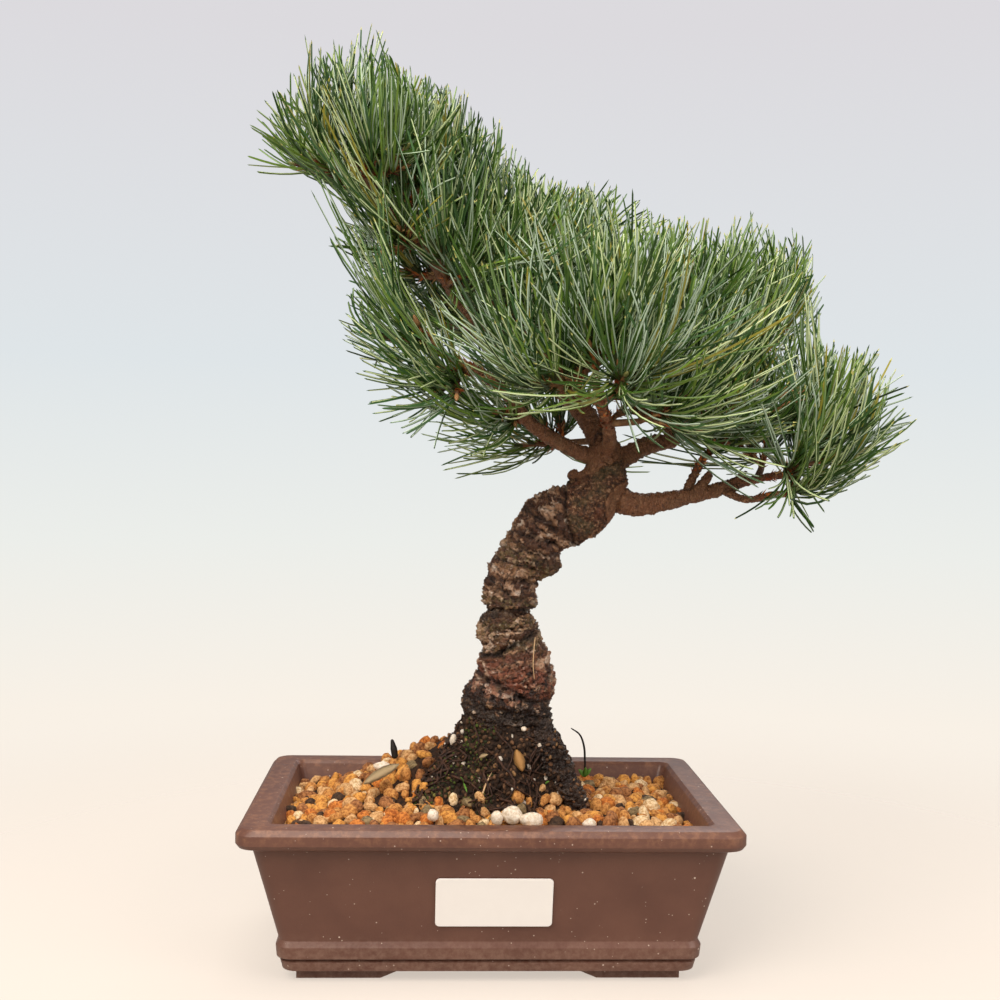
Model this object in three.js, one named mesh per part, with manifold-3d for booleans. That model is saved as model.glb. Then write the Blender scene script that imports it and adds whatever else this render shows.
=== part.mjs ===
// Japanese white pine bonsai in a rectangular stoneware pot.
// Millimetres and radians, +Z up. The pot's long side lies along X and its front faces -Y.
// Everything is laid out round the middle of the pot's footprint, at the level the feet stand on.
// At the end the whole group moves so that the origin is the bottom centre of its own box.

import * as THREE from 'three';
import { mergeVertices } from 'three/addons/utils/BufferGeometryUtils.js';
import Module from 'manifold-3d';

const wasm = await Module();
wasm.setup();

// Driving dimensions

const SEED = 11;
const CLEAR = 0.3;
const UP = new THREE.Vector3(0, 0, 1);
const GOLDEN_ANGLE = Math.PI * (3 - Math.sqrt(5));
const GOLDEN_SHARE = (Math.sqrt(5) - 1) / 2;

const POT = {
  width: 190,
  depth: 130,
  height: 62,
  cornerSteps: 3,
  floorTop: 10,
  footHeight: 4,
  footLeg: { lengthX: 44, lengthY: 32, slant: 12, breadth: 12, setIn: 1 },
  drainRadius: 7,
  drainSides: 16,
  drainX: 38,
};

// Pot profile from the underside, up the outside, over the rim and down inside.
// Each row is height, distance in from the rim's outer edge, and corner radius.
const POT_PROFILE = [
  [4, 20.5, 6],
  [4.6, 16.2, 6],
  [8, 15.4, 6],
  [8.9, 16.8, 5],
  [9.8, 14.2, 6],
  [14.2, 13.8, 6],
  [16.4, 15, 5],
  [53, 5.8, 5],
  [54.8, 1.2, 6],
  [56.4, 0, 7],
  [60, 0, 7],
  [POT.height, 2, 6],
  [POT.height, 10.6, 4],
  [60.6, 12, 3],
  [POT.floorTop, 25, 5],
];

const LABEL = { width: 44, height: 20, thickness: 0.8, corner: 1.6, middleX: 1, middleZ: 33 };

// Gravel: its height at the pot's wall, the crown inside that, and the heap beside the trunk.
const BED = {
  edgeHeight: 55,
  edgeInset: 14,
  edgeSlope: 3,
  crown: 4,
  heapHeight: 22,
  heapX: -16,
  heapY: 16,
  spreadX: 25,
  spreadY: 18,
  ringShares: [0.88, 0.7, 0.5, 0.32, 0.16],
};
const GRAINS = { count: 58, smallest: 2.9, largest: 4.4, shape: [1.2, 1, 0.8], edgeInset: 19 };

// Dark soil held up by surface roots, which make its ridges. It carries the trunk.
const MOUND = {
  x: 4,
  y: 1,
  bottom: 46,
  top: 81.7,
  bottomRadius: 40,
  topRadius: 21.5,
  depthShare: 0.88,
  flare: 0.8,
  roots: 5,
  rootDepth: 0.12,
  rootTurn: 1.1,
  sides: 20,
  steps: 4,
};

// Trunk stations: x, y, z and radius, from just under the flat cut to the fork.
const GROUND_Z = MOUND.top + CLEAR;
const TRUNK = [
  [9, 3, 76, 19.6],
  [7.5, 2, 92, 17],
  [8, 1, 101, 17.4],
  [10.5, 0, 110, 15.6],
  [9.5, 0, 121, 12.4],
  [6.5, 0, 132, 11.9],
  [8, 0, 146, 10.2],
  [14.5, -1, 158, 11.7],
  [20, -2, 167.5, 11.2],
  [28, -3, 175.5, 12.4],
  [38, -5, 182, 12],
  [45, -6, 191, 9.4],
  [46, -6, 201, 7],
  [45, -6, 208, 6],
];
// How far the bark stands out from those stations: distance along the trunk, then left and right.
const BARK_ROLLS = [
  [6, -0.5, 0.6], [13, -1.8, 0.7], [20, 1, 0.7], [25, 0.6, 0], [29, -1.6, -0.4], [35, -0.8, 0.7],
  [40, 1.4, 0.1], [44, 1.5, 1], [47.5, -0.2, -0.7], [51, -1.5, -0.2], [55, 0.2, -0.1], [59, -0.3, -0.4],
  [62.5, -2.6, -0.3], [66, -1.3, 1.6], [72, 0.8, 0.9], [77, 1, -2.3], [81.5, 0.8, -2.2], [85, 0.3, 0.3],
  [88, 0.1, 1.3], [93, 0, -0.3], [97, 0.8, -1.2], [101, 1.9, -0.8], [105, 0.9, 0.2], [109, -0.6, 0.5],
  [114, -1.8, 1.4], [119, -0.7, 0.4], [126, -0.6, 0], [140, 0, 0],
];
// Grooves across its front and back: distance along, depth, half width, and how far each climbs to the right.
const BARK_GROOVES = [
  [13, 1, 2, 2], [22, 0.9, 1.8, -2], [30.5, 2.1, 2.2, -2], [38.5, 0.7, 1.2, 2], [47.5, 1.9, 1.9, 2.6],
  [54.5, 0.5, 1, -1.5], [62, 3, 1.5, 1], [69, 1, 1.6, -3], [76, 1.2, 1.8, 4], [82.5, 1, 1.6, 3],
  [89.5, 1.2, 1.8, 5], [96, 1.1, 1.6, 4], [102.5, 1.3, 1.6, 3], [111, 1.1, 1.3, -5.2],
];
const TRUNK_RINGS = 58;
const TRUNK_SIDES = 11;
const BOUGH_SIDES = 6;
const LIMB_SAMPLES = 5;
const LIMB_GAP = CLEAR * 1.2;
const SMALLEST_EDGE = 0.08;

// Boughs: the parent limb, and stations like the trunk's. Each first station lies inside its parent.
const BOUGHS = {
  leader_lower: {
    parent: 'trunk',
    stations: [
      [45, -6, 205, 5.2], [38, -3, 217, 4.4], [31, 0, 225, 3.8],
      [17, 5, 238, 3.2], [-3, 8, 251, 2.8], [-11, 8, 259, 2.6],
    ],
  },
  leader_upper: {
    parent: 'leader_lower',
    stations: [
      [-10, 8, 258, 2.5], [-17, 8, 267, 2.4], [-25, 7, 279, 2.3],
      [-36, 5, 292, 2.1], [-46, 1, 300, 1.9], [-55, -2, 307, 1.6],
    ],
  },
  left_bough: {
    parent: 'trunk',
    stations: [
      [44, -7, 199, 3.2], [31, -10, 204, 2.8], [16, -15, 212, 2.4],
      [1, -20, 228, 2], [-9, -22, 234, 1.8], [-18, -24, 238, 1.5],
    ],
  },
  front_bough: {
    parent: 'trunk',
    stations: [
      [46, -6, 203, 3.2], [45, -24, 208, 2.6], [41, -38, 217, 2.1],
      [37, -44, 226, 1.7],
    ],
  },
  back_bough: {
    parent: 'trunk',
    stations: [
      [45, -5, 196, 3.4], [45, 14, 203, 2.8], [43, 32, 213, 2.2],
      [40, 46, 223, 1.7],
    ],
  },
  top_bough: {
    parent: 'leader_lower',
    stations: [
      [31, 0, 225, 2.9], [38, 5, 240, 2.4], [40, 9, 254, 2],
      [36, 10, 267, 1.6],
    ],
  },
  back_left_bough: {
    parent: 'leader_lower',
    stations: [
      [17, 5, 238, 2.5], [9, 20, 245, 2], [0, 34, 254, 1.6],
    ],
  },
  right_mid: {
    parent: 'trunk',
    stations: [
      [49, -5, 198, 4], [64, 0, 206, 3.4], [74, 5, 208, 2.8],
      [83, 10, 213, 2.4], [95, 17, 221, 2],
    ],
  },
  right_back: {
    parent: 'right_mid',
    stations: [
      [94, 16, 220, 1.9], [107, 22, 231, 1.7], [119, 28, 239, 1.5],
    ],
  },
  right_top: {
    parent: 'right_mid',
    stations: [
      [74, 5, 208, 2.4], [73, 8, 225, 2], [70, 10, 242, 1.6],
    ],
  },
  right_low: {
    parent: 'trunk',
    stations: [
      [46, -6, 187, 5], [57, -8, 181.5, 4.2], [70, -9, 183, 3],
      [80, -10, 185.5, 2.5], [91, -11, 188, 2.3], [98, -12, 190, 2.1],
    ],
  },
  right_fork_upper: {
    parent: 'right_low',
    stations: [
      [97, -12, 190, 2], [108, -13, 193, 1.7], [118, -14, 195, 1.4],
    ],
  },
  right_fork_lower: {
    parent: 'right_low',
    stations: [
      [93, -11, 188, 1.8], [102, -18, 184.5, 1.5], [110, -21, 186.5, 1.3],
    ],
  },
  right_spur: {
    parent: 'right_low',
    stations: [
      [78, -10, 185, 1.8], [82, -9, 194, 1.5], [86, -8, 201, 1.3],
    ],
  },
};

// Masses of needles: the limb that bears the stem, how far along it, the stem's tip, and the shoots.
const MASSES = {
  apex_left: ['leader_upper', 1, [-68, -9, 320], 3],
  apex_top: ['leader_upper', 0.9, [-59, -1, 334], 3],
  apex_front: ['leader_upper', 0.82, [-52, -20, 322], 2],
  apex_back: ['leader_upper', 0.76, [-54, 20, 320], 2],
  leader_top: ['leader_upper', 0.66, [-37, 3, 318], 3],
  leader_right: ['leader_upper', 0.32, [-17, 8, 302], 3],
  leader_under: ['leader_upper', 0.5, [-40, -15, 291], 2],
  leader_front: ['leader_upper', 0.2, [-24, -24, 282], 2],
  leader_back: ['leader_upper', 0.3, [-26, 36, 286], 2],
  left_tip: ['left_bough', 1, [-31, -26, 251], 2],
  left_under: ['left_bough', 0.84, [-22, -38, 233], 2],
  left_hanging: ['left_bough', 0.5, [0, -31, 217], 1],
  centre_left: ['leader_lower', 0.72, [3, -18, 266], 2],
  centre_ridge: ['leader_lower', 0.9, [6, 15, 279], 3],
  centre_top: ['top_bough', 1, [30, 6, 273], 3],
  front_top: ['front_bough', 1, [36, -48, 248], 3],
  front_left: ['front_bough', 0.8, [19, -48, 236], 3],
  front_middle: ['front_bough', 0.88, [50, -52, 231], 2],
  front_right: ['front_bough', 0.55, [72, -44, 224], 3],
  right_ridge: ['right_top', 1, [68, 4, 266], 3],
  right_front: ['right_mid', 0.66, [88, -18, 235], 2],
  right_back_tip: ['right_back', 1, [116, 33, 260], 3],
  right_back_top: ['right_back', 0.5, [100, 20, 266], 2],
  low_right_top: ['right_fork_upper', 1, [133, -12, 208], 3],
  low_right_back: ['right_fork_upper', 0.45, [116, 8, 210], 2],
  low_right_end: ['right_fork_lower', 1, [127, -30, 194], 2],
  spur_brush: ['right_spur', 1, [92, -16, 214], 2],
  back_top: ['back_bough', 1, [36, 56, 246], 3],
  back_right: ['back_bough', 0.66, [70, 48, 234], 2],
  back_low: ['back_bough', 0.5, [20, 42, 214], 3],
  back_left: ['back_left_bough', 1, [-10, 50, 262], 3],
  back_middle: ['back_left_bough', 0.55, [22, 36, 268], 2],
};

const TWIG = { sides: 5, startRadius: 1.3, coreRadius: 1.8, endRadius: 1.3, arch: 0.1, bendAt: 0.4 };
const SHOOT = {
  length: 21,
  needled: 15,
  bare: 0.35,
  bands: 3,
  tilt: 0.95,
  lift: 0.25,
  outer: 0.6,
  margin: 3,
  spread: 0.2,
};
const NEEDLE = {
  length: 35,
  spread: 0.24,
  radius: 1.1,
  perShoot: 12,
  baseAngle: 1.25,
  tipAngle: 0.35,
  lift: 0.45,
  shortest: 0.6,
  shrink: 0.2,
  nearRoot: 0.35,
  limbMargin: 1.7,
  neighbourMargin: 2.6,
};

// Places along a needle's two halves, and the free space that it keeps there to other masses.
const NEEDLE_CHECKS = [
  { half: 0, share: 0.7, margin: 2.6 },
  { half: 0, share: 1, margin: 2.4 },
  { half: 1, share: 0.5, margin: 1.5 },
  { half: 1, share: 1, margin: 0.6 },
];

// Numbers from a seed, the same on every run.
function seededRandom(seed) {
  let state = seed >>> 0;
  return () => {
    state = (state + 0x6d2b79f5) >>> 0;
    let mixed = Math.imul(state ^ (state >>> 15), state | 1);
    mixed ^= mixed + Math.imul(mixed ^ (mixed >>> 7), mixed | 61);
    return ((mixed ^ (mixed >>> 14)) >>> 0) / 4294967296;
  };
}

// Solids

function indexedGeometry(points, faces) {
  const geometry = new THREE.BufferGeometry();
  const numbers = points.flatMap((point) => point.toArray());
  geometry.setAttribute('position', new THREE.Float32BufferAttribute(numbers, 3));
  geometry.setIndex(faces);
  return geometry;
}

function toSolid(geometry) {
  const plain = geometry.clone();
  plain.deleteAttribute('normal');
  plain.deleteAttribute('uv');
  const merged = mergeVertices(plain, 1e-4);
  return new wasm.Manifold(new wasm.Mesh({
    numProp: 3,
    vertProperties: new Float32Array(merged.attributes.position.array),
    triVerts: new Uint32Array(merged.index.array),
  }));
}

function toGeometry(solid) {
  const { vertProperties, triVerts } = solid.getMesh();
  const geometry = new THREE.BufferGeometry();
  geometry.setAttribute('position', new THREE.Float32BufferAttribute(vertProperties, 3));
  geometry.setIndex(new THREE.Uint32BufferAttribute(triVerts, 1));
  return geometry;
}

// The largest body of a solid: hollows sealed inside it are filled and loose scraps dropped.
function mainBody(solid) {
  const bodies = solid.simplify(SMALLEST_EDGE).decompose();
  return bodies.reduce((best, body) => (body.volume() > best.volume() ? body : best));
}

// A closed surface through rings of equal point count, listed counter-clockwise seen from the far end.
function loft(rings) {
  const sides = rings[0].length;
  const faces = [];
  for (let ring = 0; ring + 1 < rings.length; ring += 1) {
    for (let side = 0; side < sides; side += 1) {
      const a = ring * sides + side;
      const b = ring * sides + ((side + 1) % sides);
      faces.push(a, b, b + sides, a, b + sides, a + sides);
    }
  }
  const last = (rings.length - 1) * sides;
  for (let side = 1; side + 1 < sides; side += 1) {
    faces.push(0, side + 1, side);
    faces.push(last, last + side, last + side + 1);
  }
  return indexedGeometry(rings.flat(), faces);
}

function roundedRectangle(halfX, halfY, radius, z) {
  const ring = [];
  const steps = POT.cornerSteps;
  for (let corner = 0; corner < 4; corner += 1) {
    const signX = corner === 0 || corner === 3 ? 1 : -1;
    const signY = corner < 2 ? 1 : -1;
    for (let step = 0; step <= steps; step += 1) {
      const angle = (corner + step / steps) * (Math.PI / 2);
      ring.push(new THREE.Vector3(
        signX * (halfX - radius) + radius * Math.cos(angle),
        signY * (halfY - radius) + radius * Math.sin(angle),
        z,
      ));
    }
  }
  return ring;
}

function potRing(z, inset, radius) {
  return roundedRectangle(POT.width / 2 - inset, POT.depth / 2 - inset, radius, z);
}

// Distance in from the rim's outer edge at a height, on the straight part of the wall.
function wallInset(z, low, high) {
  return THREE.MathUtils.mapLinear(z, low[0], high[0], low[1], high[1]);
}

// Pot

// One leg of a foot: a bar whose free end slants back towards the floor the pot stands on.
function footLeg(alongX, signX, signY) {
  const { lengthX, lengthY, slant, breadth, setIn } = POT.footLeg;
  const [, edgeInset] = POT_PROFILE[0];
  const outerX = POT.width / 2 - edgeInset - setIn;
  const outerY = POT.depth / 2 - edgeInset - setIn;
  const level = (z, cut) => {
    const innerX = alongX ? outerX - lengthX + cut : outerX - breadth;
    const innerY = alongX ? outerY - breadth : outerY - lengthY + cut;
    const corners = [[innerX, innerY], [outerX, innerY], [outerX, outerY], [innerX, outerY]];
    const ring = corners.map(([x, y]) => new THREE.Vector3(signX * x, signY * y, z));
    return signX * signY > 0 ? ring : ring.reverse();
  };
  return toSolid(loft([level(0, slant), level(POT.footHeight + 1, 0)]));
}

function potSolid() {
  const { floorTop, drainRadius, drainSides, drainX } = POT;
  let pot = toSolid(loft(POT_PROFILE.map(([z, inset, radius]) => potRing(z, inset, radius))));
  for (const signX of [-1, 1]) {
    for (const signY of [-1, 1]) {
      pot = pot.add(footLeg(true, signX, signY)).add(footLeg(false, signX, signY));
    }
    const drain = new THREE.CylinderGeometry(drainRadius, drainRadius, floorTop * 2, drainSides);
    drain.rotateX(Math.PI / 2).translate(signX * drainX, 0, floorTop);
    pot = pot.subtract(toSolid(drain));
  }
  return pot;
}

// Blank label on the sloping front wall, clear of it by the usual gap.
function labelGeometry() {
  const { width, height, thickness, corner } = LABEL;
  const x = width / 2 - corner;
  const y = height / 2 - corner;
  const outline = new THREE.Shape();
  outline.absarc(x, y, corner, 0, Math.PI / 2);
  outline.absarc(-x, y, corner, Math.PI / 2, Math.PI);
  outline.absarc(-x, -y, corner, Math.PI, Math.PI * 1.5);
  outline.absarc(x, -y, corner, Math.PI * 1.5, Math.PI * 2);
  return new THREE.ExtrudeGeometry(outline, { depth: thickness, bevelEnabled: false, curveSegments: 2 });
}

// Soil

function heapShare(x, y) {
  const dx = (x - BED.heapX) / BED.spreadX;
  const dy = (y - BED.heapY) / BED.spreadY;
  return Math.exp(-(dx * dx + dy * dy) / 2);
}

// Height of the gravel over a point of the pot's plan.
function bedHeight(x, y) {
  const edgeX = 1 - Math.abs(x) / (POT.width / 2 - BED.edgeInset);
  const edgeY = 1 - Math.abs(y) / (POT.depth / 2 - BED.edgeInset);
  const inward = THREE.MathUtils.clamp(Math.min(edgeX, edgeY) * BED.edgeSlope, 0, 1);
  return BED.edgeHeight + (BED.crown + BED.heapHeight * heapShare(x, y)) * inward;
}

function moundRing(z, grow) {
  const share = (z - MOUND.bottom) / (MOUND.top - MOUND.bottom);
  const radius = THREE.MathUtils.lerp(MOUND.bottomRadius, MOUND.topRadius, share ** MOUND.flare) + grow;
  const ring = [];
  for (let side = 0; side < MOUND.sides; side += 1) {
    const angle = (side / MOUND.sides) * Math.PI * 2;
    const ridge = Math.cos(angle * MOUND.roots + MOUND.rootTurn);
    const reach = radius * (1 + MOUND.rootDepth * (1 - share) * ridge);
    const x = MOUND.x + reach * Math.cos(angle);
    const y = MOUND.y + reach * MOUND.depthShare * Math.sin(angle);
    ring.push(new THREE.Vector3(x, y, z));
  }
  return ring;
}

function moundSolid() {
  const rings = [];
  for (let step = 0; step <= MOUND.steps; step += 1) {
    rings.push(moundRing(THREE.MathUtils.lerp(MOUND.bottom, MOUND.top, step / MOUND.steps), 0));
  }
  return toSolid(loft(rings));
}

// The space that the gravel leaves free for the mound, open to the top.
function moundSpace(gap) {
  const rings = [moundRing(MOUND.bottom, gap).map((point) => point.setZ(MOUND.bottom - gap))];
  for (let step = 0; step <= MOUND.steps; step += 1) {
    rings.push(moundRing(THREE.MathUtils.lerp(MOUND.bottom, MOUND.top, step / MOUND.steps), gap));
  }
  rings.push(moundRing(MOUND.top, gap).map((point) => point.setZ(MOUND.top * 2)));
  return toSolid(loft(rings));
}

function bedSolid() {
  const [rimInner, floorInner] = POT_PROFILE.slice(-2);
  const gap = CLEAR * 1.5;
  const inner = (z) => wallInset(z, floorInner, rimInner) + gap;
  const bottomZ = POT.floorTop + CLEAR;
  const rings = [
    potRing(bottomZ, inner(bottomZ), floorInner[2]),
    potRing(BED.edgeHeight, inner(BED.edgeHeight), rimInner[2]),
  ];
  for (const share of BED.ringShares) {
    rings.push(rings[1].map((edge) => {
      const x = THREE.MathUtils.lerp(BED.heapX, edge.x, share);
      const y = THREE.MathUtils.lerp(BED.heapY, edge.y, share);
      return new THREE.Vector3(x, y, bedHeight(x, y));
    }));
  }
  let bed = toSolid(loft(rings));
  const random = seededRandom(SEED);
  for (let grain = 0; grain < GRAINS.count; grain += 1) {
    const x = (random() * 2 - 1) * (POT.width / 2 - GRAINS.edgeInset);
    const y = (random() * 2 - 1) * (POT.depth / 2 - GRAINS.edgeInset);
    const size = THREE.MathUtils.lerp(GRAINS.smallest, GRAINS.largest, random());
    const stone = new THREE.OctahedronGeometry(size);
    stone.scale(...GRAINS.shape).rotateX(random() * Math.PI).rotateZ(random() * Math.PI);
    stone.translate(x, y, bedHeight(x, y));
    bed = bed.add(toSolid(stone));
  }
  return mainBody(bed.subtract(moundSpace(gap)));
}

// Limbs

class Limb {
  constructor(stations) {
    this.stations = stations;
    this.curve = new THREE.CatmullRomCurve3(stations.map(([x, y, z]) => new THREE.Vector3(x, y, z)));
    this.samples = [];
    const steps = (stations.length - 1) * LIMB_SAMPLES;
    for (let step = 0; step <= steps; step += 1) {
      const share = step / steps;
      this.samples.push({ point: this.curve.getPoint(share), radius: this.radiusAt(share) });
    }
  }

  radiusAt(share) {
    const place = share * (this.stations.length - 1);
    const index = Math.min(Math.floor(place), this.stations.length - 2);
    return THREE.MathUtils.lerp(this.stations[index][3], this.stations[index + 1][3], place - index);
  }

  // Free distance from a point to the limb's surface.
  clearance(point) {
    return Math.min(...this.samples.map((s) => s.point.distanceTo(point) - s.radius));
  }

  // The limb's surface, grown by a margin on all sides.
  geometry(ringCount, sides, grow = 0, swell = () => 0) {
    const rings = [];
    const side = new THREE.Vector3(0, -1, 0);
    const before = this.curve.getPoint(0);
    let distance = 0;
    for (let ring = 0; ring < ringCount; ring += 1) {
      const share = ring / (ringCount - 1);
      const along = this.curve.getTangent(share);
      side.addScaledVector(along, -side.dot(along)).normalize();
      const across = along.clone().cross(side);
      const centre = this.curve.getPoint(share);
      distance += centre.distanceTo(before);
      before.copy(centre);
      if (ring === 0) centre.addScaledVector(along, -grow);
      if (ring === ringCount - 1) centre.addScaledVector(along, grow);
      const points = [];
      for (let step = 0; step < sides; step += 1) {
        const angle = (step / sides) * Math.PI * 2;
        const radius = this.radiusAt(share) + swell(distance, angle) + grow;
        points.push(centre.clone()
          .addScaledVector(side, radius * Math.cos(angle))
          .addScaledVector(across, radius * Math.sin(angle)));
      }
      rings.push(points);
    }
    return loft(rings);
  }
}

// How far the trunk's bark stands out at a distance along it. An angle of nothing is its front.
function barkSwell(distance, angle) {
  const right = Math.sin(angle);
  const next = Math.max(BARK_ROLLS.findIndex(([place]) => place > distance), 1);
  const [from, to] = [BARK_ROLLS[next - 1], BARK_ROLLS[next]];
  const share = THREE.MathUtils.clamp((distance - from[0]) / (to[0] - from[0]), 0, 1);
  const column = right < 0 ? 1 : 2;
  const roll = THREE.MathUtils.lerp(from[column], to[column], share);
  const dents = BARK_GROOVES.map(([place, depth, half, climb]) => (
    depth * Math.exp(-(((distance - place - climb * right) / half) ** 2))
  ));
  return roll * right * right - Math.max(...dents) * (1 - right * right);
}

const trunk = new Limb(TRUNK);
const limbs = { trunk };
for (const [name, { stations }] of Object.entries(BOUGHS)) limbs[name] = new Limb(stations);

// A limb's whole body, grown by a margin that may be nothing.
function limbBody(name, grow) {
  const limb = limbs[name];
  if (name === 'trunk') return toSolid(limb.geometry(TRUNK_RINGS, TRUNK_SIDES, grow, barkSwell));
  return toSolid(limb.geometry(limb.stations.length * 2 - 1, BOUGH_SIDES, grow));
}

// The trunk, cut flat at ground level.
function trunkSolid() {
  const [x, y, , radius] = TRUNK[0];
  const ground = new THREE.BoxGeometry(radius * 4, radius * 4, GROUND_Z);
  ground.translate(x, y, GROUND_Z / 2);
  return mainBody(limbBody('trunk', 0).subtract(toSolid(ground)));
}

function boughSolid(name) {
  return mainBody(limbBody(name, 0).subtract(limbBody(BOUGHS[name].parent, LIMB_GAP)));
}

// Needles

function segmentDistance(point, from, to) {
  return new THREE.Line3(from, to).closestPointToPoint(point, true, new THREE.Vector3()).distanceTo(point);
}

// A twig whose rings turn by half a side from one to the next, so that its skin is made of triangles.
// From the ring where its needles begin, some of those triangles are drawn out into needles.
class Twig {
  constructor(line, bareRings) {
    this.line = line;
    this.bareRings = bareRings;
    this.from = line[bareRings].point;
    this.to = line[line.length - 1].point;
    this.along = this.to.clone().sub(this.from).normalize();
    this.drawn = new Map();
    this.rings = this.makeRings();
    this.facets = this.makeFacets();
  }

  makeRings() {
    const side = new THREE.Vector3(0.3, -1, 0.2);
    return this.line.map(({ point, radius }, index) => {
      const before = this.line[Math.max(index - 1, 0)].point;
      const after = this.line[Math.min(index + 1, this.line.length - 1)].point;
      const along = after.clone().sub(before).normalize();
      side.addScaledVector(along, -side.dot(along)).normalize();
      const across = along.clone().cross(side);
      const ring = [];
      for (let step = 0; step < TWIG.sides; step += 1) {
        const angle = ((step + (index % 2) / 2) / TWIG.sides) * Math.PI * 2;
        ring.push(point.clone()
          .addScaledVector(side, radius * Math.cos(angle))
          .addScaledVector(across, radius * Math.sin(angle)));
      }
      return ring;
    });
  }

  // Every triangle of the skin as three point numbers, the two ends included.
  makeFacets() {
    const sides = TWIG.sides;
    const facets = [];
    for (let ring = 0; ring + 1 < this.rings.length; ring += 1) {
      const odd = ring % 2;
      for (let step = 0; step < sides; step += 1) {
        const next = (step + 1) % sides;
        const low = ring * sides;
        const high = low + sides;
        const needled = ring >= this.bareRings;
        if (odd) {
          facets.push({ corners: [low + step, low + next, high + next], needled });
          facets.push({ corners: [high + step, low + step, high + next], needled });
        } else {
          facets.push({ corners: [low + step, low + next, high + step], needled });
          facets.push({ corners: [high + step, low + next, high + next], needled });
        }
      }
    }
    const last = (this.rings.length - 1) * sides;
    for (let step = 1; step + 1 < sides; step += 1) {
      facets.push({ corners: [0, step + 1, step], needled: false });
      facets.push({ corners: [last, last + step, last + step + 1], needled: true });
    }
    return facets;
  }

  corner(number) {
    return this.rings[Math.floor(number / TWIG.sides)][number % TWIG.sides];
  }

  centre(facet) {
    const sum = new THREE.Vector3();
    for (const number of facet.corners) sum.add(this.corner(number));
    return sum.divideScalar(3);
  }

  normal(facet) {
    const [a, b, c] = facet.corners.map((number) => this.corner(number));
    return new THREE.Triangle(a, b, c).getNormal(new THREE.Vector3());
  }

  geometry() {
    const points = this.rings.flat();
    const faces = [];
    for (const facet of this.facets) {
      const needle = this.drawn.get(facet);
      if (needle) this.drawNeedle(facet, needle, points, faces);
      else faces.push(...facet.corners);
    }
    return indexedGeometry(points, faces);
  }

  // The facet is carried out to a slim three-sided waist, and from there to the needle's point.
  drawNeedle(facet, needle, points, faces) {
    const centre = this.centre(facet);
    const along = needle.middle.clone().sub(centre).normalize();
    const waist = points.length;
    for (const number of facet.corners) {
      const spoke = this.corner(number).clone().sub(centre);
      spoke.addScaledVector(along, -spoke.dot(along)).setLength(NEEDLE.radius);
      points.push(needle.middle.clone().add(spoke));
    }
    points.push(needle.tip);
    for (let side = 0; side < 3; side += 1) {
      const next = (side + 1) % 3;
      const [low, lowNext] = [facet.corners[side], facet.corners[next]];
      const [high, highNext] = [waist + side, waist + next];
      faces.push(low, lowNext, highNext, low, highNext, high, high, highNext, waist + 3);
    }
  }
}

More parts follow.
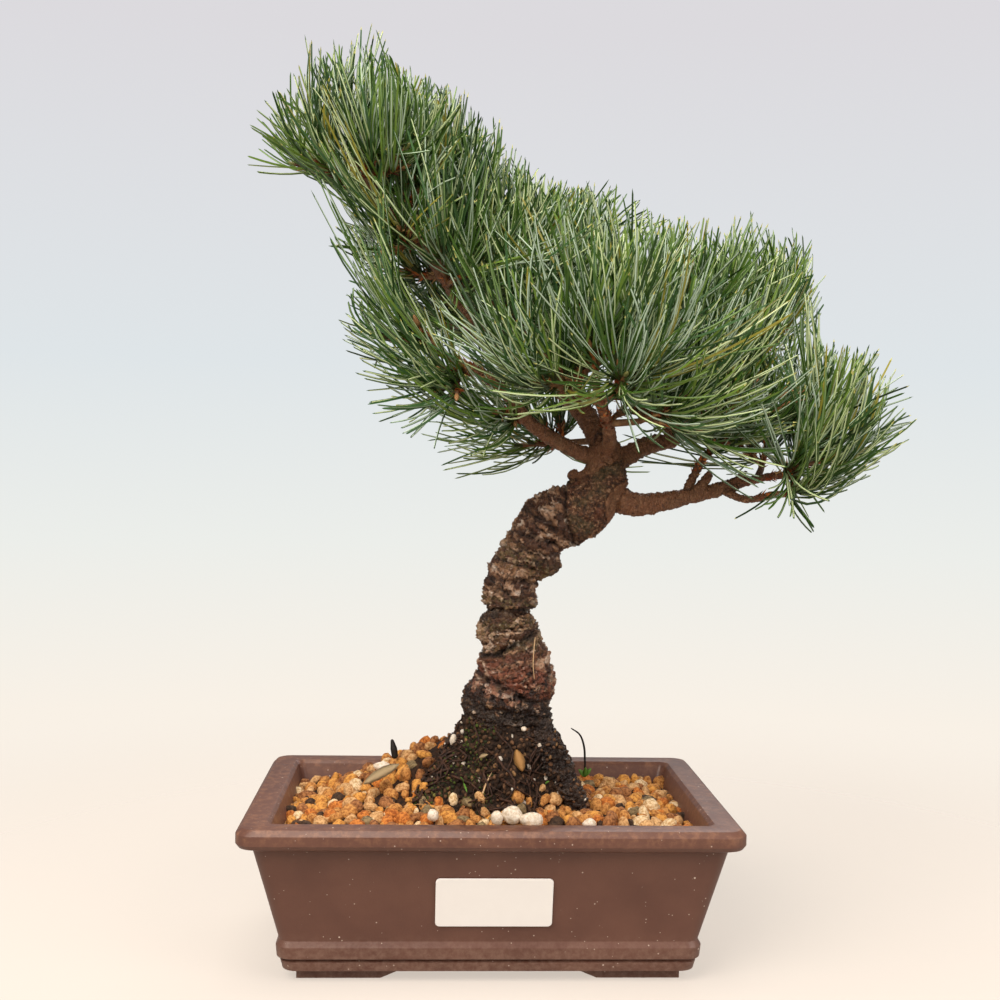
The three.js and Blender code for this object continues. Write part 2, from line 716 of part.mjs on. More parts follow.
class Mass {
  constructor(name, index) {
    const [limbName, at, tip, shootCount] = MASSES[name];
    this.name = name;
    this.limbName = limbName;
    this.random = seededRandom(SEED * 1000 + index);
    this.root = limbs[limbName].curve.getPoint(at);
    this.tip = new THREE.Vector3(...tip);
    this.shootCount = shootCount;
    this.bones = [];
    this.twigs = [];
    this.needles = [];
  }

  // Distance from a point to the nearest twig.
  distance(point) {
    return Math.min(...this.bones.map(([from, to]) => segmentDistance(point, from, to)));
  }

  // Rings along a straight twig: the bare part first, then the part that bears needles.
  twigLine(from, to) {
    const bareShare = Math.max(1 - SHOOT.needled / from.distanceTo(to), SHOOT.bare);
    const line = [{ point: from, radius: TWIG.startRadius }];
    for (let ring = 0; ring <= SHOOT.bands; ring += 1) {
      const share = THREE.MathUtils.lerp(bareShare, 1, ring / SHOOT.bands);
      const radius = THREE.MathUtils.lerp(TWIG.coreRadius, TWIG.endRadius, (ring / SHOOT.bands) ** 2);
      line.push({ point: from.clone().lerp(to, share), radius });
    }
    return line;
  }

  // The stem leaves its limb in a slight arch and ends in the first shoot.
  growStem() {
    const sag = TWIG.arch * this.root.distanceTo(this.tip);
    this.bend = this.root.clone().lerp(this.tip, TWIG.bendAt).addScaledVector(UP, -sag);
    this.bones.push([this.root, this.bend], [this.bend, this.tip]);
    const foot = { point: this.root, radius: TWIG.startRadius };
    this.twigs.push(new Twig([foot, ...this.twigLine(this.bend, this.tip)], 2));
  }

  // Side shoots leave the stem turned by the golden angle from one to the next.
  growShoots(others) {
    const axis = this.twigs[0].along;
    const side = new THREE.Vector3().crossVectors(axis, UP).normalize();
    const turn = this.random() * Math.PI * 2;
    for (let index = 1; index < this.shootCount * 4 && this.twigs.length < this.shootCount; index += 1) {
      const from = this.bend.clone().lerp(this.tip, SHOOT.spread * ((index * GOLDEN_SHARE) % 1));
      const away = side.clone().applyAxisAngle(axis, turn + index * GOLDEN_ANGLE);
      const along = axis.clone().multiplyScalar(Math.cos(SHOOT.tilt))
        .addScaledVector(away, Math.sin(SHOOT.tilt))
        .addScaledVector(UP, SHOOT.lift).normalize();
      const to = from.clone().addScaledVector(along, SHOOT.length);
      const outer = [from.clone().lerp(to, SHOOT.outer), to];
      if (this.owns(outer, others, () => SHOOT.margin) && this.clearsLimbs(outer, SHOOT.margin)) {
        this.bones.push([from, to]);
        this.twigs.push(new Twig(this.twigLine(from, to), 1));
      }
    }
  }

  // Whether points lie nearer to this mass's own twigs than to any other mass's, each by its margin.
  owns(points, others, marginAt) {
    return points.every((point, index) => {
      const own = this.distance(point) + marginAt(index);
      return others.every((other) => other.distance(point) > own);
    });
  }

  clearsLimbs(points, margin) {
    return points.every((point) => Object.values(limbs).every((limb) => limb.clearance(point) > margin));
  }

  // Whether points lie clear of the mass's needles and of its twigs, but for the twig they grow on.
  clearsOwnGrowth(points, ownTwig) {
    const lines = this.needles.flatMap(({ root, middle, tip }) => [[root, middle], [middle, tip]]);
    for (const twig of this.twigs) {
      if (twig !== ownTwig) lines.push([twig.line[0].point, twig.to]);
    }
    const { neighbourMargin } = NEEDLE;
    return points.every((point) => (
      lines.every(([from, to]) => segmentDistance(point, from, to) > neighbourMargin)
    ));
  }

  // Facets are tried in an order that spreads any number of needles evenly along a twig and round it.
  growNeedles(others) {
    for (const twig of this.twigs) {
      const open = twig.facets.filter((facet) => facet.needled);
      const length = twig.from.distanceTo(twig.to);
      for (let index = 0; index < open.length && twig.drawn.size < NEEDLE.perShoot; index += 1) {
        const facet = open[Math.floor(((index * GOLDEN_SHARE + 0.5) % 1) * open.length)];
        if (!twig.drawn.has(facet)) {
          const root = twig.centre(facet);
          const place = THREE.MathUtils.clamp(twig.from.distanceTo(root) / length, 0, 1);
          const needle = this.fitNeedle(twig, facet, root, place, others);
          if (needle) {
            twig.drawn.set(facet, needle);
            this.needles.push(needle);
          }
        }
      }
    }
  }

  // The longest needle from a facet that stays in the mass's own space and off limbs and needles.
  fitNeedle(twig, facet, root, place, others) {
    const angle = THREE.MathUtils.lerp(NEEDLE.baseAngle, NEEDLE.tipAngle, place);
    const along = twig.along.clone().multiplyScalar(Math.cos(angle))
      .addScaledVector(twig.normal(facet), Math.sin(angle))
      .addScaledVector(UP, NEEDLE.lift).normalize();
    const full = NEEDLE.length * (1 + NEEDLE.spread * (this.random() - 0.5));
    const onward = along.clone().addScaledVector(UP, NEEDLE.lift).normalize();
    for (let length = full; length >= full * NEEDLE.shortest; length -= full * NEEDLE.shrink) {
      const middle = root.clone().addScaledVector(along, length * 0.5);
      const tip = middle.clone().addScaledVector(onward, length * 0.5);
      const halves = [[root, middle], [middle, tip]];
      const places = NEEDLE_CHECKS.map(({ half, share }) => {
        const [from, to] = halves[half];
        return from.clone().lerp(to, share);
      });
      const near = root.clone().lerp(middle, NEEDLE.nearRoot);
      if (this.owns(places, others, (index) => NEEDLE_CHECKS[index].margin)
        && this.clearsLimbs([near, ...places], NEEDLE.limbMargin)
        && this.clearsOwnGrowth([near, ...places], twig)) return { root, middle, tip };
    }
    return null;
  }

  solid() {
    const joined = wasm.Manifold.union(this.twigs.map((twig) => toSolid(twig.geometry())));
    return mainBody(joined.subtract(limbBody(this.limbName, LIMB_GAP)));
  }
}

const masses = Object.keys(MASSES).map((name, index) => new Mass(name, index));
for (const mass of masses) mass.growStem();
const othersOf = (mass) => masses.filter((other) => other !== mass);
for (const mass of masses) mass.growShoots(othersOf(mass));
for (const mass of masses) mass.growNeedles(othersOf(mass));

// Materials

function material(color, roughness) {
  return new THREE.MeshStandardMaterial({ color, roughness, metalness: 0 });
}

const stoneware = material(0x6b4a3c, 0.5);
const paper = material(0xf2f2ef, 0.6);
const bakedClay = material(0xc08a4c, 0.9);
const peatSoil = material(0x2e2621, 0.95);
const bark = material(0x5b4335, 0.9);
const youngBark = material(0x6b4330, 0.85);
const needleGreen = material(0x4f7a52, 0.6);

// Assembly

const group = new THREE.Group();

function place(name, geometry, surface) {
  const mesh = new THREE.Mesh(geometry, surface);
  mesh.name = name;
  group.add(mesh);
  return mesh;
}

place('pot', toGeometry(potSolid()), stoneware);

const [wallLow, wallHigh] = POT_PROFILE.slice(6, 8);
const wallSlope = Math.atan2(wallHigh[0] - wallLow[0], wallLow[1] - wallHigh[1]);
const wallFace = wallInset(LABEL.middleZ, wallLow, wallHigh) - POT.depth / 2;
const label = place('blank_label', labelGeometry(), paper);
label.rotation.x = Math.PI - wallSlope;
label.position.set(LABEL.middleX, wallFace - CLEAR, LABEL.middleZ);

place('gravel_bed', toGeometry(bedSolid()), bakedClay);
place('root_mound', toGeometry(moundSolid()), peatSoil);
place('trunk', toGeometry(trunkSolid()), bark);
for (const name of Object.keys(BOUGHS)) place(name, toGeometry(boughSolid(name)), youngBark);
for (const mass of masses) place(`needles_${mass.name}`, toGeometry(mass.solid()), needleGreen);

const box = new THREE.Box3().setFromObject(group);
const middle = box.getCenter(new THREE.Vector3());
group.position.set(-middle.x, -middle.y, -box.min.z);

export default group;
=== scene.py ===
"""Japanese white pine bonsai in a rectangular stoneware pot.

Shapes are laid out in millimetres round the middle of the pot's footprint, front towards -Y,
and turned to metres in the frame's own place when their mesh is made.
"""

import math
from functools import partial

import bpy
import numpy as np
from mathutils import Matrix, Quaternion, Vector, kdtree, noise


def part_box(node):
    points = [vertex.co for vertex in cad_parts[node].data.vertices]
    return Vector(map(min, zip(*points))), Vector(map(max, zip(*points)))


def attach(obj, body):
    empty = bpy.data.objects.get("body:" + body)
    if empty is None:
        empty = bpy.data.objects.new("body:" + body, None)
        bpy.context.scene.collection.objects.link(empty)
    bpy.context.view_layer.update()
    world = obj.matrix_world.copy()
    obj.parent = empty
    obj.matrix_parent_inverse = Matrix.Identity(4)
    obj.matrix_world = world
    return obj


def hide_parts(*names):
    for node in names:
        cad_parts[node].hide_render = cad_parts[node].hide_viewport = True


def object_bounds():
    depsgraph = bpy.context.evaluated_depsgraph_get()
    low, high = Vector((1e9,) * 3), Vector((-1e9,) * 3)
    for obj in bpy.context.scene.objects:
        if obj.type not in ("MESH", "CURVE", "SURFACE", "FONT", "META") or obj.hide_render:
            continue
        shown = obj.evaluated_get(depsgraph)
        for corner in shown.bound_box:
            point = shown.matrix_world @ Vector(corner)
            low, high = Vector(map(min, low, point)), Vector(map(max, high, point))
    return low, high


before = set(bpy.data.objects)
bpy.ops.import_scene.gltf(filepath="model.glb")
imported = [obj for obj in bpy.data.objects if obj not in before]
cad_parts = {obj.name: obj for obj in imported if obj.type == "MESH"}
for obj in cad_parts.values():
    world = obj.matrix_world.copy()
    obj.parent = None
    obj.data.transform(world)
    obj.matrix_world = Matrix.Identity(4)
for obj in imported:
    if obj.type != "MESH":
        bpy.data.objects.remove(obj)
CAD_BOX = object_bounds()

# Numbers that everything shares

MM = 0.001
SEED = 11
UP = np.array([0.0, 0.0, 1.0])
FULL_TURN = 2 * math.pi
GOLDEN_ANGLE = math.pi * (3 - math.sqrt(5))
GOLDEN_SHARE = (math.sqrt(5) - 1) / 2
POT_LOW, POT_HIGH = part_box("pot")
POT_MIDDLE = np.array([(POT_LOW.x + POT_HIGH.x) / 2, (POT_LOW.y + POT_HIGH.y) / 2, 0]) / MM

# Pot: sizes, and its profile from the underside up the outside, over the rim and down inside.
# Each row is height, distance in from the rim's outer edge, and corner radius.
POT = {"width": 190, "depth": 130, "corner_steps": 10, "floor": 10, "foot": 4}
FOOT_LEG = {"length_x": 44, "length_y": 32, "slant": 12, "breadth": 12, "set_in": 21.5}
DRAIN = {"radius": 7, "x": 38}
EDGE = {"width": 0.75, "segments": 3, "bevel_over": 24, "sharp_over": 35}
POT_PROFILE = [
    (4, 20.5, 6), (4.6, 16.2, 6), (8, 15.4, 6), (8.9, 16.8, 5), (9.8, 14.2, 6), (14.2, 13.8, 6),
    (16.4, 15, 5), (34, 10.6, 5), (53, 5.8, 5), (54.8, 1.2, 6), (56.4, 0, 7), (60, 0, 7), (62, 2, 6),
    (62, 10.6, 4), (60.6, 12, 3), (10, 25, 5),
]
WALL_LOW, WALL_HIGH = POT_PROFILE[6], POT_PROFILE[8]
INNER_HIGH, INNER_LOW = POT_PROFILE[-2], POT_PROFILE[-1]
LABEL = {
    "width": 44, "height": 20, "thickness": 0.8, "corner": 1.6, "x": 1, "z": 33, "gap": 0.3,
    "edge": 0.15,
}

# Soil: the gravel's height at the wall, its crown, its heap beside the trunk, and the dark root mound.
BED = {
    "edge": 55, "inset": 14, "slope": 3, "crown": 4, "heap": 22, "x": -16, "y": 16, "spread_x": 25,
    "spread_y": 18,
}
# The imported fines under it: how far below its edge their side is fitted to the wall and their bottom lies,
# their gap to the wall, how far below the gravel's top they stay, and the rings of their top.
FINES = {"side": 4, "bottom": 12, "gap": 0.5, "below": 2.2, "rings": 26, "inmost": 0.03}
# Rows of height and radius from the buried foot up to where soil clings to the trunk.
MOUND_PROFILE = [
    (44, 41), (52, 37), (60, 32.5), (68, 28), (76, 23.5), (82, 20.5), (87, 18.6), (91, 17.2), (94, 15),
]
MOUND = {
    "x": 4, "y": 1, "depth": 0.88, "roots": 5, "root_depth": 0.15, "root_turn": 1.1, "lean": 0.1,
    "middle": 60, "ridges_fade": (66, 90), "lumps": ((11, 2.4), (2.2, 0.8)), "steepness": 14,
}
FIBRES = {"count": 90, "heights": (60, 93), "drops": (6, 20), "stand_off": 1.3, "radii": (0.25, 0.7)}

# Limbs: stations of x, y, z and radius, from root to tip.
LIMBS = {
    "trunk": [
        (9, 3, 76, 19.6), (7.5, 2, 92, 17), (8, 1, 101, 17.4), (10.5, 0, 110, 15.6), (9.5, 0, 121, 12.4),
        (6.5, 0, 132, 11.9), (8, 0, 146, 10.2), (14.5, -1, 158, 11.7), (20, -2, 167.5, 11.2),
        (28, -3, 175.5, 12.4), (38, -5, 182, 12), (45, -6, 191, 9.4), (46, -6, 201, 7), (45, -6, 208, 6),
    ],
    "leader_lower": [
        (45, -6, 205, 5.2), (38, -3, 217, 4.4), (31, 0, 225, 3.8), (17, 5, 238, 3.2), (-3, 8, 251, 2.8),
        (-11, 8, 259, 2.6),
    ],
    "leader_upper": [
        (-10, 8, 258, 2.5), (-17, 8, 267, 2.4), (-25, 7, 279, 2.3), (-36, 5, 292, 2.1), (-46, 1, 300, 1.9),
        (-55, -2, 307, 1.6),
    ],
    "left_bough": [
        (44, -7, 199, 3.2), (31, -10, 204, 2.8), (16, -15, 212, 2.4), (1, -20, 228, 2), (-9, -22, 234, 1.8),
        (-18, -24, 238, 1.5),
    ],
    "front_bough": [(46, -6, 203, 3.2), (45, -24, 208, 2.6), (41, -38, 217, 2.1), (37, -44, 226, 1.7)],
    "back_bough": [(45, -5, 196, 3.4), (45, 14, 203, 2.8), (43, 32, 213, 2.2), (40, 46, 223, 1.7)],
    "top_bough": [(31, 0, 225, 2.9), (38, 5, 240, 2.4), (40, 9, 254, 2), (36, 10, 267, 1.6)],
    "back_left_bough": [(17, 5, 238, 2.5), (9, 20, 245, 2), (0, 34, 254, 1.6)],
    "right_mid": [
        (49, -5, 198, 4), (64, 0, 206, 3.4), (74, 5, 208, 2.8), (83, 10, 213, 2.4), (95, 17, 221, 2),
    ],
    "right_back": [(94, 16, 220, 1.9), (107, 22, 231, 1.7), (119, 28, 239, 1.5)],
    "right_top": [(74, 5, 208, 2.4), (73, 8, 225, 2), (70, 10, 242, 1.6)],
    "right_low": [
        (46, -6, 187, 5), (57, -8, 181.5, 4.2), (70, -9, 183, 3), (80, -10, 185.5, 2.5),
        (91, -11, 188, 2.3), (98, -12, 190, 2.1),
    ],
    "right_fork_upper": [(97, -12, 190, 2), (108, -13, 193, 1.7), (118, -14, 195, 1.4)],
    "right_fork_lower": [(93, -11, 188, 1.8), (102, -18, 184.5, 1.5), (110, -21, 186.5, 1.3)],
    "right_spur": [(78, -10, 185, 1.8), (82, -9, 194, 1.5), (86, -8, 201, 1.3)],
}
LIMB_SAMPLES = 5

# Masses of needles: the limb that bears the stem, how far along it, the stem's tip, and the shoots.
MASSES = {
    "apex_left": ("leader_upper", 1, (-68, -9, 320), 3),
    "apex_top": ("leader_upper", 0.9, (-59, -1, 334), 3),
    "apex_front": ("leader_upper", 0.82, (-52, -20, 322), 2),
    "apex_back": ("leader_upper", 0.76, (-54, 20, 320), 2),
    "leader_top": ("leader_upper", 0.66, (-37, 3, 318), 3),
    "leader_right": ("leader_upper", 0.32, (-17, 8, 302), 3),
    "leader_under": ("leader_upper", 0.5, (-40, -15, 291), 2),
    "leader_front": ("leader_upper", 0.2, (-24, -24, 282), 2),
    "leader_back": ("leader_upper", 0.3, (-26, 36, 286), 2),
    "left_tip": ("left_bough", 1, (-31, -26, 251), 2),
    "left_under": ("left_bough", 0.84, (-22, -38, 233), 2),
    "left_hanging": ("left_bough", 0.5, (0, -31, 217), 1),
    "centre_left": ("leader_lower", 0.72, (3, -18, 266), 2),
    "centre_ridge": ("leader_lower", 0.9, (6, 15, 279), 3),
    "centre_top": ("top_bough", 1, (30, 6, 273), 3),
    "front_top": ("front_bough", 1, (36, -48, 248), 3),
    "front_left": ("front_bough", 0.8, (19, -48, 236), 3),
    "front_middle": ("front_bough", 0.88, (50, -52, 231), 2),
    "front_right": ("front_bough", 0.55, (72, -44, 224), 3),
    "right_ridge": ("right_top", 1, (68, 4, 266), 3),
    "right_front": ("right_mid", 0.66, (88, -18, 235), 2),
    "right_back_tip": ("right_back", 1, (116, 33, 260), 3),
    "right_back_top": ("right_back", 0.5, (100, 20, 266), 2),
    "low_right_top": ("right_fork_upper", 1, (133, -12, 208), 3),
    "low_right_back": ("right_fork_upper", 0.45, (116, 8, 210), 2),
    "low_right_end": ("right_fork_lower", 1, (127, -30, 194), 2),
    "spur_brush": ("right_spur", 1, (92, -16, 214), 2),
    "back_top": ("back_bough", 1, (36, 56, 246), 3),
    "back_right": ("back_bough", 0.66, (70, 48, 234), 2),
    "back_low": ("back_bough", 0.5, (20, 42, 214), 3),
    "back_left": ("back_left_bough", 1, (-10, 50, 262), 3),
    "back_middle": ("back_left_bough", 0.55, (22, 36, 268), 2),
}
STEM = {"arch": 0.1, "bend_at": 0.4}
SHOOT = {"length": 21, "needled": 15, "tilt": 0.95, "lift": 0.25, "outer": 0.6, "margin": 3, "spread": 0.2}
# Finer growth on each shoot, and its needles. Angles are in radians.
SIDE_SHOOT = {"back": 1.05, "length": 10, "needled": 8, "tilt": 0.8, "lift": 0.35, "clear": 2}
TWIG_RADII = {"stem": (1.6, 1.35), "shoot": (1.35, 0.8), "side": (0.7, 0.5)}
BUNDLE = {
    "needles": 5, "on_shoot": 12, "on_side_shoot": 8, "splay": 0.16, "base_angle": 1.3,
    "tip_angle": 0.2,
}
NEEDLE = {
    "length": 40, "spread": 0.4, "width": 0.88, "thickness": 0.62, "lift": 0.12, "sweep_up": 1.35,
    "sweep_in": 0.3, "bow": 0.46, "limb_gap": 0.9, "shortest": 0.62, "sharp_over": 40,
}
# How needles vary: the ranges drawn from, for a bundle, for one needle of it, and at the crown's edge.
VARY = {
    "turn": (-0.3, 0.3), "open": (-0.35, 0.3), "drop": (0, 1.6), "length": (-0.5, 0.5),
    "sweep_up": (0.5, 1.4), "sweep_in": (0.2, 1.5), "splay": (0.4, 1.5), "own_length": (0.9, 1.04),
    "edge": (0.72, 1.1),
}
# Along a needle: share of its length, and of its width. Across it: an outer face, and four round the keel.
NEEDLE_RINGS = ((0, 0.7), (0.12, 0.95), (0.31, 1), (0.5, 1), (0.68, 1), (0.84, 0.97), (0.975, 0.78))
NEEDLE_PROFILE = ((-1, 0.75), (1, 0.75), (0.72, 0.05), (0, -1), (-0.72, 0.05))
# A resting bud: share of its length, and radius on a bud of full length.
BUD_PROFILE = ((0, 0.55), (0.2, 0.85), (0.5, 0.9), (0.8, 0.5), (1, 0.12))
BUD = {"smallest": 3, "full": 5, "sides": 6, "seat": 0.6, "skin": 0.2}
BUD_SCALE = {"count": 22, "length": 4.6, "width": 1.8, "on_limb": 1.1}
# From where on along a limb the papery scales sit.
SCALY_ENDS = {
    "leader_upper": 0.45, "left_bough": 0.5, "front_bough": 0.5, "top_bough": 0.6, "back_bough": 0.6,
    "back_left_bough": 0.5, "right_top": 0.6, "right_back": 0.5, "right_fork_upper": 0.6,
    "right_fork_lower": 0.65, "right_spur": 0.5,
}
# How a mass grows: how far its needles may point down, how much they droop, and its share of bundles.
HABIT = {
    "low_right_end": (-1, 0.5, 1), "low_right_back": (-0.5, 0.2, 0.55), "spur_brush": (-0.4, 0.1, 0.7),
    "left_under": (-0.55, 0.4, 0.5), "left_tip": (-0.35, 0.25, 0.5), "left_hanging": (-0.7, 0.4, 0.65),
    "leader_under": (-0.4, 0.3, 0.45), "back_low": (-0.7, 0.35, 0.5), "front_left": (-0.8, 0.4, 0.8),
    "leader_front": (-0.2, 0.1, 0.7), "leader_top": (-0.1, 0, 0.75), "centre_left": (-0.2, 0.1, 0.75),
    "front_top": (-0.5, 0.2, 0.8), "front_middle": (-1, 0.55, 1), "front_right": (-0.6, 0.35, 0.75),
    "leader_back": (-0.1, 0, 0.8), "back_left": (-0.1, 0, 0.8), "apex_top": (-0.1, 0, 0.7),
    "apex_front": (0.1, 0, 0.45), "apex_left": (-0.2, 0, 0.75), "apex_back": (0, 0, 0.7),
}
PLAIN_HABIT = (-0.1, 0, 0.9)
# Masses whose needles all stream one way, and how strongly.
STREAM = {
    "left_under": (-0.9, 0.1, 0), "left_tip": (-0.7, 0, 0), "left_hanging": (-0.8, 0, -0.1),
    "leader_under": (-0.5, 0, 0), "low_right_end": (0.5, -0.1, -0.1), "right_back_tip": (0.3, 0, 0.1),
    "apex_left": (-0.3, 0, 0),
}
# Masses whose needles are shorter than the rest, and masses with dead needles, as shares.
SHORTER = {"front_right": 0.8, "right_front": 0.9, "spur_brush": 0.72}
DEAD_SHARE = {"spur_brush": 0.14, "right_ridge": 0.02}
YELLOW_TIPS = 0.2

# The crown's outline from the front, clockwise from its left tip, laid out on the plane through the pot's
# middle as the photograph's camera sees it: x and z. No needle reaches past it.
CROWN_OUTLINE = np.array([
    (-103, 316), (-100, 336), (-94, 344), (-85, 347), (-81, 368), (-68, 371), (-52, 375), (-42, 361),
    (-28, 353), (-14, 346), (0, 335), (9, 321), (24, 312), (45, 312), (57, 308), (64, 299), (85, 299),
    (94, 295), (101, 303), (122, 297), (132, 292), (137, 265), (129, 249), (141, 249), (156, 247),
    (168, 241), (177, 229), (183, 214), (168, 207), (159, 194), (150, 190), (150, 180), (138, 165),
    (123, 170), (104, 174), (98, 178), (86, 180), (73, 181), (61, 183), (49, 192), (28, 195), (11, 195),
    (-13, 187), (-28, 204), (-42, 208), (-52, 222), (-61, 242), (-63, 263), (-57, 279), (-66, 285),
    (-68, 301), (-81, 309), (-94, 312),
], float)

# How far the trunk's bark stands out from its stations: distance along it, then left and right.
BARK_ROLLS = [
    (6, -0.5, 0.6), (13, -1.8, 0.7), (20, 1, 0.7), (25, 0.6, 0), (29, -1.6, -0.4), (35, -0.8, 0.7),
    (40, 1.4, 0.1), (44, 1.5, 1), (47.5, -0.2, -0.7), (51, -1.5, -0.2), (55, 0.2, -0.1), (59, -0.3, -0.4),
    (62.5, -2.6, -0.3), (66, -1.3, 1.6), (72, 0.8, 0.9), (77, 1, -2.3), (81.5, 0.8, -2.2), (85, 0.3, 0.3),
    (88, 0.1, 1.3), (93, 0, -0.3), (97, 0.8, -1.2), (101, 1.9, -0.8), (105, 0.9, 0.2), (109, -0.6, 0.5),
    (114, -1.8, 1.4), (119, -0.7, 0.4), (126, -0.6, 0), (140, 0, 0),
]
# Grooves across its front and back: distance along, depth, half width, and climb to the right.
BARK_GROOVES = [
    (13, 1, 2, 2), (22, 0.9, 1.8, -2), (30.5, 2.1, 2.2, -2), (38.5, 0.7, 1.2, 2), (47.5, 1.9, 1.9, 2.6),
    (54.5, 0.5, 1, -1.5), (62, 3, 1.5, 1), (69, 1, 1.6, -3), (76, 1.2, 1.8, 4), (82.5, 1, 1.6, 3),
    (89.5, 1.2, 1.8, 5), (96, 1.1, 1.6, 4), (102.5, 1.3, 1.6, 3), (111, 1.1, 1.3, -5.2),
]
CREASE = {"depth": 0.7, "half": 0.45}
# Sizes of the noise that the bark's forms are made of, and the seam between old bark and young.
BARK_NOISE = {"coarse": 5, "rough": 1.7, "broken": 4, "streaks": 7, "wander": 9}
WANDER = 1.3
# The seam's dark share is painted shade in its groove.
SEAM = {"half": 1.2, "depth": 0.9, "dark": 0.75}
# Sides of each kind of limb's tube, and how its skin is evened out.
SIDES = {"trunk": 72, "bough": 24, "spur": 16, "knob": 12, "litter": 8}
EVEN_OUT = {"factor": 0.5, "times": 6}
# Surface roots down the mound from the trunk's foot, and short spurs on the low right bough, as stations.
ROOTS = [
    [(16, -4, 94, 6), (22, -8, 84, 6.5), (28, -11, 74, 5), (34, -14, 64, 4), (39, -16, 54, 3)],
    [(0, 4, 92, 7), (-9, 6, 82, 7), (-17, 8, 73, 5), (-24, 10, 64, 4), (-30, 12, 56, 3)],
    [(12, 10, 92, 6), (16, 18, 80, 6), (20, 25, 69, 4.5), (23, 31, 57, 3)],
]
SPURS = [
    [(82, -11, 186, 1.9), (85, -11.5, 191, 1.5), (88, -12, 195.5, 1)],
    [(95, -12, 189.5, 1.7), (99, -12.5, 193, 1.3), (103, -13, 196, 0.8)],
]
# Dead spur stubs on the trunk: place along it, side (left is -1) and size.
KNOBS = [(124, -1, 2.6), (88.5, 1, 2.2), (106, 1, 2), (57, -0.4, 1.2)]
# Where old bark gives way to young, old bark's scales, and how far up soil, red bark and moss are.
YOUNG_BARK = {"place": 111, "climb": 5.2, "step": 0.9, "soft": 2.2}
SCALES = {"across": 4.6, "along": 2.3, "height": 0.85, "tilt": 0.75}
SOIL_LINE = (10, 46)
RUST_ZONE = (34, 10)
MOSS_PLACES = ((47.5, 3), (56, 3.5), (66, 3), (20, 5), (84, 5))
# Boughs that are thicker than their stations, and the step of the rings in young bark.
THICKER = {"right_low": 0.8, "right_spur": 0.3, "right_mid": 0.3, "left_bough": 0.3}
RING_STEP = 1.15
# Where the trunk's skin is parted: in the bottom of its deepest groove, where no seam shows.
PARTING = {"place": 62, "overlap": 2.2, "foot": 4.5}
VOXELS = {"lower": 0.39, "upper": 0.49}

# Waxy pine needles: green outer faces, inner faces with pale rows of pores, and yellow or dead ones.
# Each row is colour and how common it is.
NEEDLE_OUTER = {
    "deep": ("#254014", 0.24), "green": ("#3F5E1D", 0.34), "blue": ("#3E6034", 0.22),
    "light": ("#6A8634", 0.15), "olive": ("#8C8532", 0.05),
}
NEEDLE_INNER = {"pale": ("#C2D09C", 0.4), "pale_blue": ("#B4C6AE", 0.35), "dull": ("#7C985A", 0.25)}
# The foot colour darkens each needle's base: the sheath's dull green, and painted shade deep in the tuft.
NEEDLE_ODD = {"tip": "#C0BC6A", "dead": "#C98E63", "foot": "#3E4A1E"}
BUD_COLOURS = {"brown": "#8A5A34", "tan": "#A87A4C", "green": "#8C8A50"}
SCALE_COLOURS = {"orange": "#C46E34", "rust": "#9A4A24", "straw": "#C89A66", "brown": "#7A4426"}
# Grains: colour, colour in their pits, and how common they are.
GRAVEL = {
    "ochre": ("#CF9350", "#8F5626", 24), "orange": ("#D3823A", "#8E4A1C", 13),
    "tan": ("#DDB07A", "#A06E3C", 19), "brown": ("#AC7445", "#66391C", 14),
    "cream": ("#F0D6AC", "#BC9360", 8), "olive": ("#927C58", "#5C4C34", 6),
    "gold": ("#E0A04E", "#A0642C", 13), "dark": ("#4F3A2A", "#271A12", 3),
}
CRUMBS = {
    "black": ("#33241A", "#150D08", 36), "brown": ("#5A402C", "#2C1C12", 36),
    "bark": ("#7A573C", "#40291A", 15), "perlite": ("#DDD3C4", "#AFA08C", 3.5),
    "leaf": ("#94704A", "#5C4027", 4),
}
MOSS = {
    "dark": ("#2E3516", "#1A1E0C", 50), "green": ("#4E5B22", "#2C3412", 35),
    "yellow": ("#76743A", "#4A481F", 15),
}
# What is strewn: colours, corners of a grain's block, slot, spacing, smallest, largest, unevenness in mm
# and what is added to the seed.
STREWN = {
    "gravel_grains": (GRAVEL, 4, "gravel", 5.6, 5.6, 9, 2.3, 0),
    "gravel_chips": (GRAVEL, 3, "gravel", 6, 2.8, 4.8, 1.8, 1),
    "gravel_spill": (GRAVEL, 4, "gravel", 5.6, 4.6, 7.4, 2.3, 3),
    "soil_crumbs": (CRUMBS, 3, "soil", 2.1, 1, 2.8, 1.2, 0),
    "moss": (MOSS, 3, "soil", 1.5, 0.8, 2, 1, 0),
    "foot_crumbs": (CRUMBS, 3, "soil", 2.1, 0.8, 2.4, 1.2, 2),
}
# A scatter's sizes, its grains' smallest and largest proportions, and more grains to a square metre than fit.
SCATTER_SIZES = ("Spacing", "Smallest", "Largest", "Unevenness")
GRAIN_SHAPES = ((0.85, 0.62, 0.48), (1.3, 1.0, 0.82))
MORE_THAN_FIT = 4e6
# Pale pebbles: place, and size across, deep and high.
PEBBLES = [
    ((2.3, -38.5, 60.4), (5, 4.6, 6)), ((8.3, -37.5, 61.2), (7.6, 7, 7.2)),
    ((15.6, -39.5, 60), (9.6, 7, 6.6)), ((-22.5, -37.5, 61), (4.4, 4.6, 5)),
    ((-14.4, -3.5, 83), (3.2, 3, 5.4)), ((37.8, -42, 59.4), (5, 4, 3.6)),
    ((13.6, -15.5, 90.5), (2.3, 2, 2.1)), ((20.2, -13.5, 84), (2.6, 2.4, 3)),
    ((-44, 8, 69.5), (7, 5, 4.4)),
]
